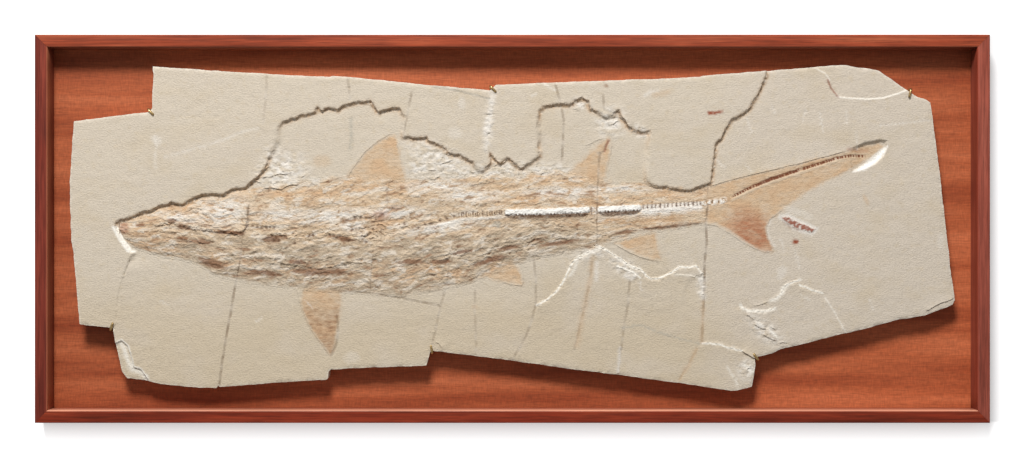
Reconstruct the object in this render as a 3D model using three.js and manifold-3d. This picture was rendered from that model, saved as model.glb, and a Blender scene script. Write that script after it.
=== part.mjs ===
// A fossil shark in a slab of pale limestone, held by brass pins in a shallow mahogany wall frame.
// Millimetres. The frame lies on its back: +X runs along it to the tail, +Y is the edge that is
// uppermost on a wall, and +Z is the face. The origin is the middle of the frame's back.
import * as THREE from 'three';
import { mergeVertices } from 'three/addons/utils/BufferGeometryUtils.js';
import Module from 'manifold-3d';

const wasm = await Module();
wasm.setup();

// Frame
const FRAME_WIDTH = 1200;
const FRAME_HEIGHT = 488;
const FRAME_DEPTH = 38;
const RAIL_FACE = 16;
const OUTER_ROUND = 1.5;
const INNER_ROUND = 1.2;
const ROUND_STEPS = 3;
const REBATE_WIDTH = 6;
const MITRE_CLEARANCE = 0.2;
const BOARD_THICKNESS = 8;
const BOARD_CLEARANCE = 0.3;

// Slab: it lies on the board, and its layers are heights above the frame's back
const BEDDING = 32;
const UPPER_LAYER = 35;
const RAISED_FLAKE = 34;
const CORNER_CHIP = 30;
const THIN_FLAKE = 31.2;
const TAIL_RECESS = 28;
const ABOVE_SLAB = 45;

// Shark, as heights above the bedding
const FIN_INSET = 0.8;
const FIN_RAISE = 1.2;
const BONE_RAISE = 0.7;
const BODY_EDGE = 0.25;
const BODY_CROWN = 3.1;
const BODY_RIDGE = 0.35;
const BODY_ROOT = 1;
const BODY_STATIONS = 80;
const BODY_ROWS = 11;
const VERTEBRA_PITCH = 5.2;
const VERTEBRA_LENGTH = 4.5;
const VERTEBRA_SIDES = 6;
const SKULL_HALF_SIZE = [29, 14, 2.6];
const SKULL_LEVEL = 2.6;

// Pins
const PIN_RADIUS = 1.1;
const PIN_HOLE_RADIUS = 1.4;
const PIN_HOLE_BOTTOM = 3;
const PIN_BEND = 3.5;
const PIN_HOOK = 8.5;
const PIN_LIFT = 0.4;
const PIN_SIDES = 8;
const PIN_STEPS = 15;

// Outlines below are traced in units of which the frame is 955.8 wide, with y downwards.
// The slab's face lies a little behind the frame's rim, so it is traced slightly small.
const TRACED_FRAME_WIDTH = 955.8;
const TRACED_CENTRE = [512.4, 228.75];
const FACE_SETBACK = 1.0025;
const TRACE_SCALE = (FRAME_WIDTH / TRACED_FRAME_WIDTH) * FACE_SETBACK;

const SLAB_OUTLINE = [
  [153, 66.5], [230, 71.8], [300, 75.8], [330, 76.8], [333, 75.8], [380, 80], [430, 85.3], [490, 90.5],
  [496, 85], [548, 82.8], [600, 81], [670, 78.5], [700, 76.8], [702, 75.8], [765, 71], [820, 66.5],
  [846, 64.5], [857, 67.5], [865, 67.8], [879, 70.3], [893, 80], [908, 90.5], [918, 97], [924, 98.5],
  [931, 102.5], [934, 128], [938.5, 160], [943, 200], [947.5, 240], [951, 270], [955, 300], [953, 305],
  [925, 315.5], [895, 320.5], [870, 327.5], [830, 337], [809, 342.5], [780, 349.5], [772, 353.5],
  [755, 358], [755.5, 366], [752, 387], [738, 390.5], [731, 391], [690, 384.5], [630, 376.5], [575, 369.5],
  [500, 359], [433, 350.8], [430, 352], [426.5, 365.8], [370, 367.5], [331, 369.6], [328.5, 372],
  [328, 378], [326, 379.8], [270, 383.2], [219.5, 387], [218, 385], [216, 388], [200, 387.8], [160, 384],
  [140, 379.5], [127, 378.3], [122, 372], [118.5, 356], [115, 340], [113, 328], [80, 324.3], [78, 300],
  [75.5, 270], [72, 240], [70.5, 205], [70.3, 180], [72.5, 145], [74.2, 121.5], [105, 117.3], [150, 112],
  [152.5, 108], [152.8, 95], [154, 74], [152.8, 70],
];

// The broken edge of the upper layer, from the snout to the top edge behind the second dorsal fin
const UPPER_LAYER_EDGE = [
  [116, 222], [128, 218], [140, 213], [150, 211], [160, 206], [172, 202.5], [183, 204], [190, 199],
  [203, 194.5], [222, 194], [232, 188.5], [245, 187.5], [252, 182], [258, 176], [265, 168], [268, 158],
  [272, 150], [277, 140], [277, 127], [283, 122.5], [300, 116], [313, 112.5], [318, 107.5], [322, 110.5],
  [328, 107], [338, 110], [345, 105.5], [366, 101], [371, 100], [374, 104], [378, 113], [383, 111],
  [392, 108.5], [399, 108.5], [405, 117.5], [404, 125], [403, 137], [408, 136], [413, 138], [427, 136.5],
  [428, 141], [440, 145], [450, 153], [460, 156], [473, 162], [478, 168], [482, 170], [490, 163],
  [490, 153], [494, 158], [500, 163], [507, 158], [521, 168], [530, 163], [539, 156], [537, 148],
  [538, 135], [537, 125], [539, 112], [543, 107], [552, 105], [571, 104], [575, 100], [582, 97],
  [588, 101], [590, 109], [600, 112], [607, 117], [612, 115], [619, 110], [622, 116], [628, 127],
  [645, 133], [650, 131], [649, 140], [648, 160], [646, 181], [650, 184.5], [660, 187], [690, 190],
  [700, 187], [710, 182], [712, 175], [714, 160], [715, 145], [720, 140], [724, 130], [731, 120],
  [745, 112], [750, 107], [757, 95], [763, 82], [766, 73],
];
// Past the slab's outer edge, round to the break in front of the snout
const BEDDING_SURROUND = [
  [768, 50], [1000, 50], [1000, 410], [113, 410], [113, 328], [116, 325], [118, 300], [121, 285],
  [128, 265], [134, 252], [131, 253], [122, 240], [114.5, 227],
];
const LOWER_FLAKE = [
  [536, 304], [545, 301], [552, 297], [560, 287], [568, 275], [574, 262], [580, 257], [592, 255],
  [597, 246], [605, 250], [615, 258], [640, 271], [645, 276], [652, 279], [658, 279], [670, 275],
  [680, 267], [690, 268], [697, 267], [702, 274], [704, 300], [702, 343], [715, 344], [730, 348],
  [742, 351], [760, 358], [760, 410], [500, 410], [512, 360], [518, 350], [525, 335], [530, 322],
];
const RIGHT_FLAKE = [
  [745, 306], [757, 303], [768, 299], [780, 291], [786, 285], [800, 279], [802, 285], [812, 290],
  [823, 293], [828, 300], [835, 309], [841, 322], [848, 345], [778, 358], [778, 348], [770, 338],
  [760, 329], [752, 320], [745, 313],
];
const LEFT_CHIP = [
  [100, 343], [116, 343], [122, 340], [127, 345], [131, 355], [134, 367], [141, 369], [148, 380],
  [150, 395], [100, 395],
];
const TOP_RIGHT_CHIP = [
  [815, 50], [920, 50], [907, 90], [900, 93], [885, 98], [870, 99], [840, 97], [832, 90], [830, 80],
  [825, 73], [815, 67],
];
const TAIL_TIP_RECESS = [
  [845, 151], [857, 145], [868, 141], [880, 139], [888, 140], [888, 148], [884, 157], [876, 164],
  [865, 169], [852, 173],
];

const BODY_UPPER_EDGE = [
  [119, 225], [128, 220], [140, 215], [150, 213], [160, 208], [172, 204.5], [183, 206], [190, 201],
  [203, 196.5], [222, 196], [232, 190.5], [250, 188.5], [262, 186], [300, 183], [345, 178], [410, 180],
  [430, 178], [458, 178], [500, 176], [560, 172], [605, 183], [640, 184], [690, 191], [708, 188],
];
const BODY_LOWER_EDGE = [
  [119, 232], [125, 240], [135, 247], [150, 252], [165, 256], [180, 258], [195, 262], [205, 268],
  [215, 274], [230, 278], [245, 281], [265, 283], [300, 288], [330, 290], [370, 293], [400, 295],
  [420, 292], [440, 288], [470, 282], [480, 277], [520, 262], [540, 256], [580, 250], [600, 245],
  [615, 240], [640, 234], [670, 228], [708, 222],
];
const FIRST_DORSAL = [
  [345, 179], [352, 168], [365, 152], [380, 140], [390, 135], [394, 135], [397, 140], [400, 155],
  [404, 170], [407, 181],
];
const SECOND_DORSAL = [
  [565, 174], [585, 157], [598, 145], [606, 138], [608, 137], [611, 142], [610, 155], [606, 170],
  [605, 184],
];
const TAIL_FIN = [
  [705, 189], [712, 185], [740, 177], [770, 170], [800, 163], [845, 151], [860, 146], [880, 142],
  [885, 146], [880, 152], [868, 160], [855, 168], [845, 173], [830, 180], [810, 191], [795, 201],
  [780, 212], [768, 222], [766, 228], [768, 238], [773, 247], [773, 252], [765, 252], [755, 248],
  [740, 238], [728, 230], [715, 224], [705, 222],
];
const PELVIC_FIN = [
  [480, 262], [515, 262], [520, 272], [524, 286], [510, 284], [490, 279], [470, 275],
];
const ANAL_FIN = [
  [614, 243], [640, 235], [656, 232], [657, 240], [662, 260], [650, 259], [635, 254], [622, 247],
];
const PECTORAL_FIN = [
  [297, 287], [302, 310], [310, 328], [320, 342], [330, 356], [334, 350], [336, 335], [340, 315],
  [345, 290],
];
const LOOSE_BONE = [
  [781, 217], [788, 216], [800, 222], [816, 229], [812, 233], [797, 229], [785, 222],
];
const SKULL_CENTRE = [222, 214];
const BACKBONE = [
  [247, 226], [265, 228], [285, 234], [300, 238], [335, 236], [365, 240], [385, 235], [400, 226],
  [415, 227], [430, 223], [445, 219], [460, 215], [500, 212.5], [590, 211], [640, 209], [700, 204],
  [722, 201], [730, 198], [750, 188], [770, 180], [800, 170], [838, 158], [850, 156], [868, 156],
];
// Stretches of the backbone along x: the size of its vertebrae, and how far they stand out
const BACKBONE_STRETCHES = [
  { from: 248, to: 500, radius: 1.6, level: 2.6 },
  { from: 506, to: 589, radius: 2.5, level: 3.0 },
  { from: 599, to: 640, radius: 2.5, level: 2.8 },
  { from: 643, to: 702, radius: 1.8, level: 2.0 },
  { from: 706, to: 726, radius: 1.9, level: 1.0 },
  { from: 733, to: 838, radius: 1.6, level: -0.2 },
];

// Where each pin enters the board, and the way its hook points
const PINS = [
  { name: 'pin_upper_left', foot: [148.4, 109.4], towards: [156, 117], slabTop: UPPER_LAYER },
  { name: 'pin_top', foot: [490.2, 86.4], towards: [498, 94], slabTop: UPPER_LAYER },
  { name: 'pin_upper_right', foot: [911, 89.2], towards: [909, 97], slabTop: BEDDING },
  { name: 'pin_lower_left', foot: [110.6, 330.2], towards: [113, 324], slabTop: UPPER_LAYER },
  { name: 'pin_bottom', foot: [432.2, 353.4], towards: [431, 346], slabTop: BEDDING },
  { name: 'pin_lower_right', foot: [758.4, 360], towards: [753, 353], slabTop: RAISED_FLAKE },
];

const MAHOGANY_RAIL = new THREE.MeshStandardMaterial({ color: 0x85392a, roughness: 0.42, metalness: 0 });
const MAHOGANY_BOARD = new THREE.MeshStandardMaterial({ color: 0xb0643f, roughness: 0.5, metalness: 0 });
const LIMESTONE = new THREE.MeshStandardMaterial({ color: 0xd0c2ac, roughness: 0.9, metalness: 0 });
const BRASS = new THREE.MeshStandardMaterial({ color: 0xc0964b, roughness: 0.3, metalness: 1 });

// Traced point to millimetres
function at([x, y]) {
  const [centreX, centreY] = TRACED_CENTRE;
  return new THREE.Vector2((x - centreX) * TRACE_SCALE, (centreY - y) * TRACE_SCALE);
}

// The traced line's y at a given x
function heightOfLine(line, x) {
  const next = line.findIndex((point) => point[0] >= x);
  if (next < 0) return line[line.length - 1][1];
  if (next === 0) return line[0][1];
  const [x0, y0] = line[next - 1];
  const [x1, y1] = line[next];
  return THREE.MathUtils.lerp(y0, y1, (x - x0) / (x1 - x0));
}

function solid(geometry) {
  geometry.deleteAttribute('normal');
  geometry.deleteAttribute('uv');
  const merged = mergeVertices(geometry, 1e-4);
  return new wasm.Manifold(new wasm.Mesh({
    numProp: 3,
    vertProperties: new Float32Array(merged.attributes.position.array),
    triVerts: new Uint32Array(merged.index.array),
  }));
}

function geometryOf(manifold) {
  const { vertProperties, triVerts } = manifold.getMesh();
  const geometry = new THREE.BufferGeometry();
  geometry.setAttribute('position', new THREE.BufferAttribute(vertProperties, 3));
  geometry.setIndex(new THREE.BufferAttribute(triVerts, 1));
  geometry.computeVertexNormals();
  return geometry;
}

function named(name, geometry, material) {
  const mesh = new THREE.Mesh(geometry, material);
  mesh.name = name;
  return mesh;
}

// A flat plate with a traced outline, between two heights
function plate(outline, bottom, top) {
  const shape = new THREE.Shape(outline.map(at));
  const geometry = new THREE.ExtrudeGeometry(shape, { depth: top - bottom, bevelEnabled: false });
  return solid(geometry.translate(0, 0, bottom));
}

// A closed patch of relief: pointAt gives its upper surface, and its underside is flat
function reliefPatch(columns, rows, underside, pointAt) {
  const perColumn = rows + 1;
  const surface = [];
  for (let i = 0; i <= columns; i += 1) {
    for (let j = 0; j <= rows; j += 1) surface.push(pointAt(i / columns, j / rows));
  }
  const count = surface.length;
  const points = surface.concat(surface.map((p) => new THREE.Vector3(p.x, p.y, underside)));
  const index = [];
  const quad = (a, b, c, d) => index.push(a, b, c, a, c, d);
  for (let i = 0; i < columns; i += 1) {
    for (let j = 0; j < rows; j += 1) {
      const a = i * perColumn + j;
      const b = a + 1;
      const c = b + perColumn;
      const d = a + perColumn;
      quad(a, b, c, d);
      quad(a + count, d + count, c + count, b + count);
    }
  }
  const border = [];
  for (let j = 0; j < rows; j += 1) border.push(j);
  for (let i = 0; i < columns; i += 1) border.push(i * perColumn + rows);
  for (let j = rows; j > 0; j -= 1) border.push(columns * perColumn + j);
  for (let i = columns; i > 0; i -= 1) border.push(i * perColumn);
  border.forEach((here, n) => {
    const following = border[(n + 1) % border.length];
    quad(here, here + count, following + count, following);
  });
  const geometry = new THREE.BufferGeometry().setFromPoints(points);
  geometry.setIndex(index);
  return solid(geometry);
}

// The trunk from snout to tail root: a low dome with long flaky ridges
function trunk() {
  const start = BODY_UPPER_EDGE[0][0];
  const end = BODY_UPPER_EDGE[BODY_UPPER_EDGE.length - 1][0];
  return reliefPatch(BODY_STATIONS, BODY_ROWS, BEDDING - BODY_ROOT, (along, across) => {
    const x = THREE.MathUtils.lerp(start, end, along);
    const upper = heightOfLine(BODY_UPPER_EDGE, x);
    const lower = heightOfLine(BODY_LOWER_EDGE, x);
    const place = at([x, THREE.MathUtils.lerp(upper, lower, across)]);
    const dome = Math.sin(Math.PI * across) ** 0.7;
    const slimming = 1 - 0.55 * along ** 4;
    const ridge = Math.sin(38 * across + 3 * Math.sin(21 * along)) * Math.sin(60 * along + 9 * across);
    const lift = BODY_EDGE + dome * (BODY_CROWN * slimming + BODY_RIDGE * ridge);
    return new THREE.Vector3(place.x, place.y, BEDDING + lift);
  });
}

function skullLump() {
  const place = at(SKULL_CENTRE);
  const lump = new THREE.SphereGeometry(1, 20, 12);
  lump.scale(...SKULL_HALF_SIZE);
  return solid(lump.translate(place.x, place.y, BEDDING + SKULL_LEVEL));
}

// Short drums that lie end to end along the backbone
function vertebrae() {
  const pitch = VERTEBRA_PITCH / TRACE_SCALE;
  const drums = [];
  for (const { from, to, radius, level } of BACKBONE_STRETCHES) {
    const count = Math.floor((to - from) / pitch);
    for (let n = 0; n < count; n += 1) {
      const here = from + (n + 0.5) * pitch;
      const place = at([here, heightOfLine(BACKBONE, here)]);
      const ahead = at([here + pitch, heightOfLine(BACKBONE, here + pitch)]);
      const heading = ahead.sub(place).angle();
      const drum = new THREE.CylinderGeometry(radius, radius, VERTEBRA_LENGTH, VERTEBRA_SIDES);
      drum.rotateZ(heading - Math.PI / 2);
      drums.push(solid(drum.translate(place.x, place.y, BEDDING + level)));
    }
  }
  return drums;
}

function fossilSlab() {
  const within = plate(SLAB_OUTLINE, BOARD_THICKNESS, ABOVE_SLAB);
  const beddingWindow = [...UPPER_LAYER_EDGE, ...BEDDING_SURROUND];
  let slab = plate(SLAB_OUTLINE, BOARD_THICKNESS, UPPER_LAYER);
  slab = slab.subtract(plate(beddingWindow, BEDDING, ABOVE_SLAB));
  for (const flake of [LOWER_FLAKE, RIGHT_FLAKE]) {
    slab = slab.add(plate(flake, BEDDING - BODY_ROOT, RAISED_FLAKE).intersect(within));
  }
  slab = slab.subtract(plate(LEFT_CHIP, CORNER_CHIP, ABOVE_SLAB));
  slab = slab.subtract(plate(TOP_RIGHT_CHIP, THIN_FLAKE, ABOVE_SLAB));
  slab = slab.subtract(plate(TAIL_TIP_RECESS, TAIL_RECESS, ABOVE_SLAB));
  for (const fin of [FIRST_DORSAL, SECOND_DORSAL, TAIL_FIN]) {
    slab = slab.subtract(plate(fin, BEDDING - FIN_INSET, ABOVE_SLAB));
  }
  for (const fin of [PELVIC_FIN, ANAL_FIN, PECTORAL_FIN]) {
    slab = slab.add(plate(fin, BEDDING - BODY_ROOT, BEDDING + FIN_RAISE));
  }
  slab = slab.add(plate(LOOSE_BONE, BEDDING - BODY_ROOT, BEDDING + BONE_RAISE));
  for (const relief of [trunk(), skullLump(), ...vertebrae()]) slab = slab.add(relief);
  return named('fossil_slab', geometryOf(slab), LIMESTONE);
}

// The rail's section: x runs inwards from the outer face, y upwards from the back
function railSection() {
  const section = new THREE.Shape();
  section.moveTo(0, 0);
  section.lineTo(RAIL_FACE - REBATE_WIDTH, 0);
  section.lineTo(RAIL_FACE - REBATE_WIDTH, BOARD_THICKNESS);
  section.lineTo(RAIL_FACE, BOARD_THICKNESS);
  section.absarc(RAIL_FACE - INNER_ROUND, FRAME_DEPTH - INNER_ROUND, INNER_ROUND, 0, Math.PI / 2);
  section.absarc(OUTER_ROUND, FRAME_DEPTH - OUTER_ROUND, OUTER_ROUND, Math.PI / 2, Math.PI);
  return section;
}

// A rail of the given length whose outer face is outwards millimetres from the middle, at -Y.
// Each end is cut back by the distance from the outer face, which makes the mitre.
function railGeometry(length, outwards) {
  const geometry = new THREE.ExtrudeGeometry(railSection(), {
    depth: length, bevelEnabled: false, curveSegments: ROUND_STEPS,
  });
  const position = geometry.attributes.position;
  for (let i = 0; i < position.count; i += 1) {
    const inset = position.getX(i);
    const cut = inset + MITRE_CLEARANCE;
    const along = position.getZ(i) > 0 ? length / 2 - cut : cut - length / 2;
    position.setXYZ(i, along, inset - outwards, position.getY(i));
  }
  return geometryOf(solid(geometry));
}

function rails() {
  const long = railGeometry(FRAME_WIDTH, FRAME_HEIGHT / 2);
  const short = railGeometry(FRAME_HEIGHT, FRAME_WIDTH / 2);
  const quarter = Math.PI / 2;
  const turns = [
    ['rail_bottom', long, 0], ['rail_right', short, 1], ['rail_top', long, 2], ['rail_left', short, 3],
  ];
  return turns.map(([name, geometry, turn]) => {
    const rail = named(name, geometry, MAHOGANY_RAIL);
    rail.rotation.z = turn * quarter;
    return rail;
  });
}

function backBoard() {
  const shrink = 2 * (RAIL_FACE - REBATE_WIDTH + BOARD_CLEARANCE);
  const panel = new THREE.BoxGeometry(FRAME_WIDTH - shrink, FRAME_HEIGHT - shrink, BOARD_THICKNESS);
  let board = solid(panel.translate(0, 0, BOARD_THICKNESS / 2));
  for (const { foot } of PINS) {
    const place = at(foot);
    const depth = BOARD_THICKNESS - PIN_HOLE_BOTTOM + 1;
    const hole = new THREE.CylinderGeometry(PIN_HOLE_RADIUS, PIN_HOLE_RADIUS, depth, PIN_SIDES);
    hole.rotateX(Math.PI / 2);
    board = board.subtract(solid(hole.translate(place.x, place.y, PIN_HOLE_BOTTOM + depth / 2)));
  }
  return named('back_board', geometryOf(board), MAHOGANY_BOARD);
}

// A round nail, bent over at the top so that its end reaches across the slab's edge
function pin({ name, foot, towards, slabTop }) {
  const start = at(foot);
  const way = at(towards).sub(start).normalize();
  const top = slabTop + PIN_LIFT + PIN_RADIUS;
  const point = (reach, height) => new THREE.Vector3(
    start.x + reach * way.x,
    start.y + reach * way.y,
    height,
  );
  const path = new THREE.CurvePath();
  path.add(new THREE.LineCurve3(point(0, PIN_HOLE_BOTTOM), point(0, top - PIN_BEND)));
  path.add(new THREE.QuadraticBezierCurve3(point(0, top - PIN_BEND), point(0, top), point(PIN_BEND, top)));
  path.add(new THREE.LineCurve3(point(PIN_BEND, top), point(PIN_HOOK, top)));
  const corners = Array.from({ length: PIN_SIDES }, (_, n) => {
    const angle = (2 * Math.PI * n) / PIN_SIDES;
    return new THREE.Vector2(PIN_RADIUS * Math.cos(angle), PIN_RADIUS * Math.sin(angle));
  });
  const geometry = new THREE.ExtrudeGeometry(new THREE.Shape(corners), {
    extrudePath: path, steps: PIN_STEPS, bevelEnabled: false,
  });
  return named(name, geometryOf(solid(geometry)), BRASS);
}

const framedFossil = new THREE.Group();
framedFossil.name = 'framed_fossil_shark';
framedFossil.add(...rails(), backBoard(), fossilSlab(), ...PINS.map(pin));

export default framedFossil;
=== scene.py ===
"""Looks for the framed fossil shark: limestone slab, shark relief, mahogany frame, brass pins."""
import math

import bpy
import numpy as np
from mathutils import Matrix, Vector
from mathutils.geometry import delaunay_2d_cdt


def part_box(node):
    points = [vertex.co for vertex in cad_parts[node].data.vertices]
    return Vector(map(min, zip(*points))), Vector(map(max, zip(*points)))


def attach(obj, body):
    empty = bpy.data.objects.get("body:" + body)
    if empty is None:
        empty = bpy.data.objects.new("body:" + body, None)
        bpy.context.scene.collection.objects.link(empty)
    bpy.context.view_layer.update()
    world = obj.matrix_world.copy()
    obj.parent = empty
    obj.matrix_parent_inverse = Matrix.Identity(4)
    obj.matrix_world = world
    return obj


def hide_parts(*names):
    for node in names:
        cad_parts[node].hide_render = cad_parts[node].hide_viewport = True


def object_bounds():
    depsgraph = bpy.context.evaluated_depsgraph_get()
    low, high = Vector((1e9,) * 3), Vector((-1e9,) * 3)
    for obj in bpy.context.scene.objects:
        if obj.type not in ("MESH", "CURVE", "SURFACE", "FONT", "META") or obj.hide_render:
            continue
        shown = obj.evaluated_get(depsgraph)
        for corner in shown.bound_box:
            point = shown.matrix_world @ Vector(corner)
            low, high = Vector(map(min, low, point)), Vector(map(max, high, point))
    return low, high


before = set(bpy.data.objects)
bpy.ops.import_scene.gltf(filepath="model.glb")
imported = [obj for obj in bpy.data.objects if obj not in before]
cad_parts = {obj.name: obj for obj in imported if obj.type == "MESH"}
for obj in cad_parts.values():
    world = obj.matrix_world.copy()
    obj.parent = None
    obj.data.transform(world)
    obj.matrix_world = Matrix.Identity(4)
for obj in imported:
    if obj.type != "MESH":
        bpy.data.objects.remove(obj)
cad_low, cad_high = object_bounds()

# Units and levels. Relief is worked out in millimetres and written to meshes in metres.
MM = 0.001
FRAME_WIDTH = (cad_high[0] - cad_low[0]) / MM
FRAME_HEIGHT = (cad_high[1] - cad_low[1]) / MM
FRAME_DEPTH = (cad_high[2] - cad_low[2]) / MM
SLAB_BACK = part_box("fossil_slab")[0].z / MM
BEDDING = 32.0
UPPER_LAYER = 3.6
CORNER_CHIP = 2.0
THIN_CHIP = 0.8
TAIL_RECESS = 4.0
BODY_CROWN = 2.2
TRUNK_ROOT = 3.0
FACE_LIMIT = 37.4
SKIN_WIDTH = 100.0
STREAK_SLANT = 0.16
VERTEBRA_PITCH = 3.6
FRONT_PITCH = 3.0
REAR_PITCH = 5.2
OUTLINE_STEP = 1.6
BREAK_STEP = 0.9

# Outlines are read in units of which the frame is 955.8 wide, with y downwards.
# The slab's face lies behind the frame's rim, so it was read slightly small.
TRACED_FRAME_WIDTH = 955.8
TRACED_CENTRE = (512.4, 228.75)
FACE_SETBACK = 1.0025
SCALE = FRAME_WIDTH / TRACED_FRAME_WIDTH * FACE_SETBACK

SLAB_OUTLINE = [
    (153, 66.5), (230, 71.8), (300, 75.8), (330, 76.8), (333, 75.8), (380, 80), (430, 85.3), (490, 90.5),
    (496, 85), (548, 82.8), (600, 81), (670, 78.5), (700, 76.8), (702, 75.8), (765, 71), (820, 66.5),
    (846, 64.5), (857, 67.5), (865, 67.8), (879, 70.3), (893, 80), (908, 90.5), (918, 97), (924, 98.5),
    (931, 102.5), (934, 128), (938.5, 160), (943, 200), (947.5, 240), (951, 270), (955, 300), (953, 305),
    (925, 315.5), (895, 320.5), (870, 327.5), (830, 337), (809, 342.5), (780, 349.5), (772, 353.5),
    (755, 358), (755.5, 366), (752, 387), (738, 390.5), (731, 391), (690, 384.5), (630, 376.5),
    (575, 369.5), (500, 359), (433, 350.8), (430, 352), (426.5, 365.8), (370, 367.5), (331, 369.6),
    (328.5, 372), (328, 378), (326, 379.8), (270, 383.2), (219.5, 387), (218, 385), (216, 388),
    (200, 387.8), (160, 384), (140, 379.5), (127, 378.3), (122, 372), (118.5, 356), (115, 340),
    (113, 328), (80, 324.3), (78, 300), (75.5, 270), (72, 240), (70.5, 205), (70.3, 180), (72.5, 145),
    (74.2, 121.5), (105, 117.3), (150, 112), (152.5, 108), (152.8, 95), (154, 74), (152.8, 70),
]
UPPER_LAYER_EDGE = [
    (116, 222), (128, 218), (140, 213), (150, 211), (160, 206), (172, 202.5), (183, 204), (190, 199),
    (203, 194.5), (222, 194), (232, 188.5), (245, 187.5), (252, 182), (258, 176), (265, 168), (268, 158),
    (272, 150), (277, 140), (277, 127), (283, 122.5), (300, 116), (313, 112.5), (318, 107.5), (322, 110.5),
    (328, 107), (338, 110), (345, 105.5), (366, 101), (371, 100), (374, 104), (378, 113), (383, 111),
    (392, 108.5), (399, 108.5), (405, 117.5), (404, 125), (403, 137), (408, 136), (413, 138), (427, 136.5),
    (428, 141), (440, 145), (450, 153), (460, 156), (473, 162), (478, 168), (482, 170), (490, 163),
    (490, 153), (494, 158), (500, 163), (507, 158), (521, 168), (530, 163), (539, 156), (537, 148),
    (538, 135), (537, 125), (539, 112), (543, 107), (552, 105), (571, 104), (575, 100), (582, 97),
    (588, 101), (590, 109), (600, 112), (607, 117), (612, 115), (619, 110), (622, 116), (628, 127),
    (645, 133), (650, 131), (649, 140), (648, 160), (646, 181), (650, 184.5), (660, 187), (690, 190),
    (700, 187), (710, 182), (712, 175), (714, 160), (715, 145), (720, 140), (724, 130), (731, 120),
    (745, 112), (750, 107), (757, 95), (763, 82), (766, 73),
]
SNOUT_BREAK = [
    (113, 328), (116, 325), (118, 300), (121, 285), (128, 265), (134, 252), (131, 253), (122, 240),
    (114.5, 227), (116, 222),
]
BEDDING_SURROUND = [(768, 50), (1000, 50), (1000, 410), (113, 410)]
LEFT_CHIP_EDGE = [
    (100, 343), (116, 343), (122, 340), (127, 345), (131, 355), (134, 367), (141, 369), (148, 380),
    (150, 395),
]
TOP_RIGHT_CHIP_EDGE = [
    (920, 82), (907, 90), (900, 93), (885, 98), (870, 99), (840, 97), (832, 90), (830, 80), (825, 73),
    (815, 67), (815, 50),
]
TAIL_TIP_RECESS = [
    (845, 151), (857, 145), (868, 141), (880, 139), (888, 140), (888, 148), (884, 157), (876, 164),
    (865, 169), (852, 173),
]
# The wall of the tail tip's recess that faces the lamp, painted white as a highlight
LIT_TAIL_CRESCENT = [
    (853, 172), (865, 170), (876, 163), (884.5, 154), (888, 146), (882.5, 149), (874, 156.5), (865, 164),
]
BODY_UPPER_EDGE = [
    (119, 225), (128, 220), (140, 215), (150, 213), (160, 208), (172, 204.5), (183, 206), (190, 201),
    (203, 196.5), (222, 196), (232, 190.5), (250, 188.5), (262, 186), (300, 183), (345, 178), (410, 180),
    (430, 178), (458, 178), (500, 176), (560, 172), (605, 183), (640, 184), (690, 191), (708, 188),
]
BODY_LOWER_EDGE = [
    (119, 232), (125, 240), (135, 247), (150, 252), (165, 256), (180, 258), (195, 262), (205, 268),
    (215, 274), (230, 278), (245, 281), (265, 283), (300, 288), (330, 290), (370, 293), (400, 295),
    (420, 292), (440, 288), (470, 282), (480, 277), (520, 262), (540, 256), (580, 250), (600, 245),
    (615, 240), (640, 234), (670, 228), (708, 222),
]
FIRST_DORSAL = [
    (340, 190), (345, 179), (352, 168), (365, 152), (380, 140), (390, 135), (394, 135), (397, 140),
    (400, 155), (404, 170), (409, 190),
]
SECOND_DORSAL = [
    (560, 186), (565, 174), (585, 157), (598, 145), (606, 138), (608, 137), (611, 142), (610, 155),
    (606, 170), (605, 190),
]
TAIL_FIN = [
    (699, 191), (712, 185), (740, 177), (770, 170), (800, 163), (845, 151), (860, 146), (880, 142),
    (885, 146), (880, 152), (868, 160), (855, 168), (845, 173), (830, 180), (810, 191), (795, 201),
    (780, 212), (768, 222), (766, 228), (768, 238), (773, 247), (773, 252), (765, 252), (755, 248),
    (740, 238), (728, 230), (715, 224), (699, 223),
]
PELVIC_FIN = [(480, 262), (515, 262), (520, 272), (524, 286), (510, 284), (490, 279), (470, 275)]
ANAL_FIN = [
    (614, 243), (640, 235), (656, 232), (657, 240), (662, 260), (650, 259), (635, 254), (622, 247),
]
PECTORAL_FIN = [
    (300, 278), (299, 292), (302, 310), (310, 328), (320, 342), (330, 356), (334, 350), (336, 335),
    (340, 315), (344, 292), (342, 278),
]
LOOSE_BONE = [(781, 217), (788, 216), (800, 222), (816, 229), (812, 233), (797, 229), (785, 222)]
BACKBONE = [
    (247, 226), (265, 228), (285, 234), (300, 238), (335, 236), (365, 240), (385, 235), (400, 226),
    (415, 227), (430, 223), (445, 219), (460, 215), (500, 212.8), (545, 211.9), (590, 209.9),
    (640, 207.8), (700, 204), (722, 201), (730, 198), (750, 188), (770, 180), (800, 170), (838, 158),
    (850, 156), (868, 156),
]
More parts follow.
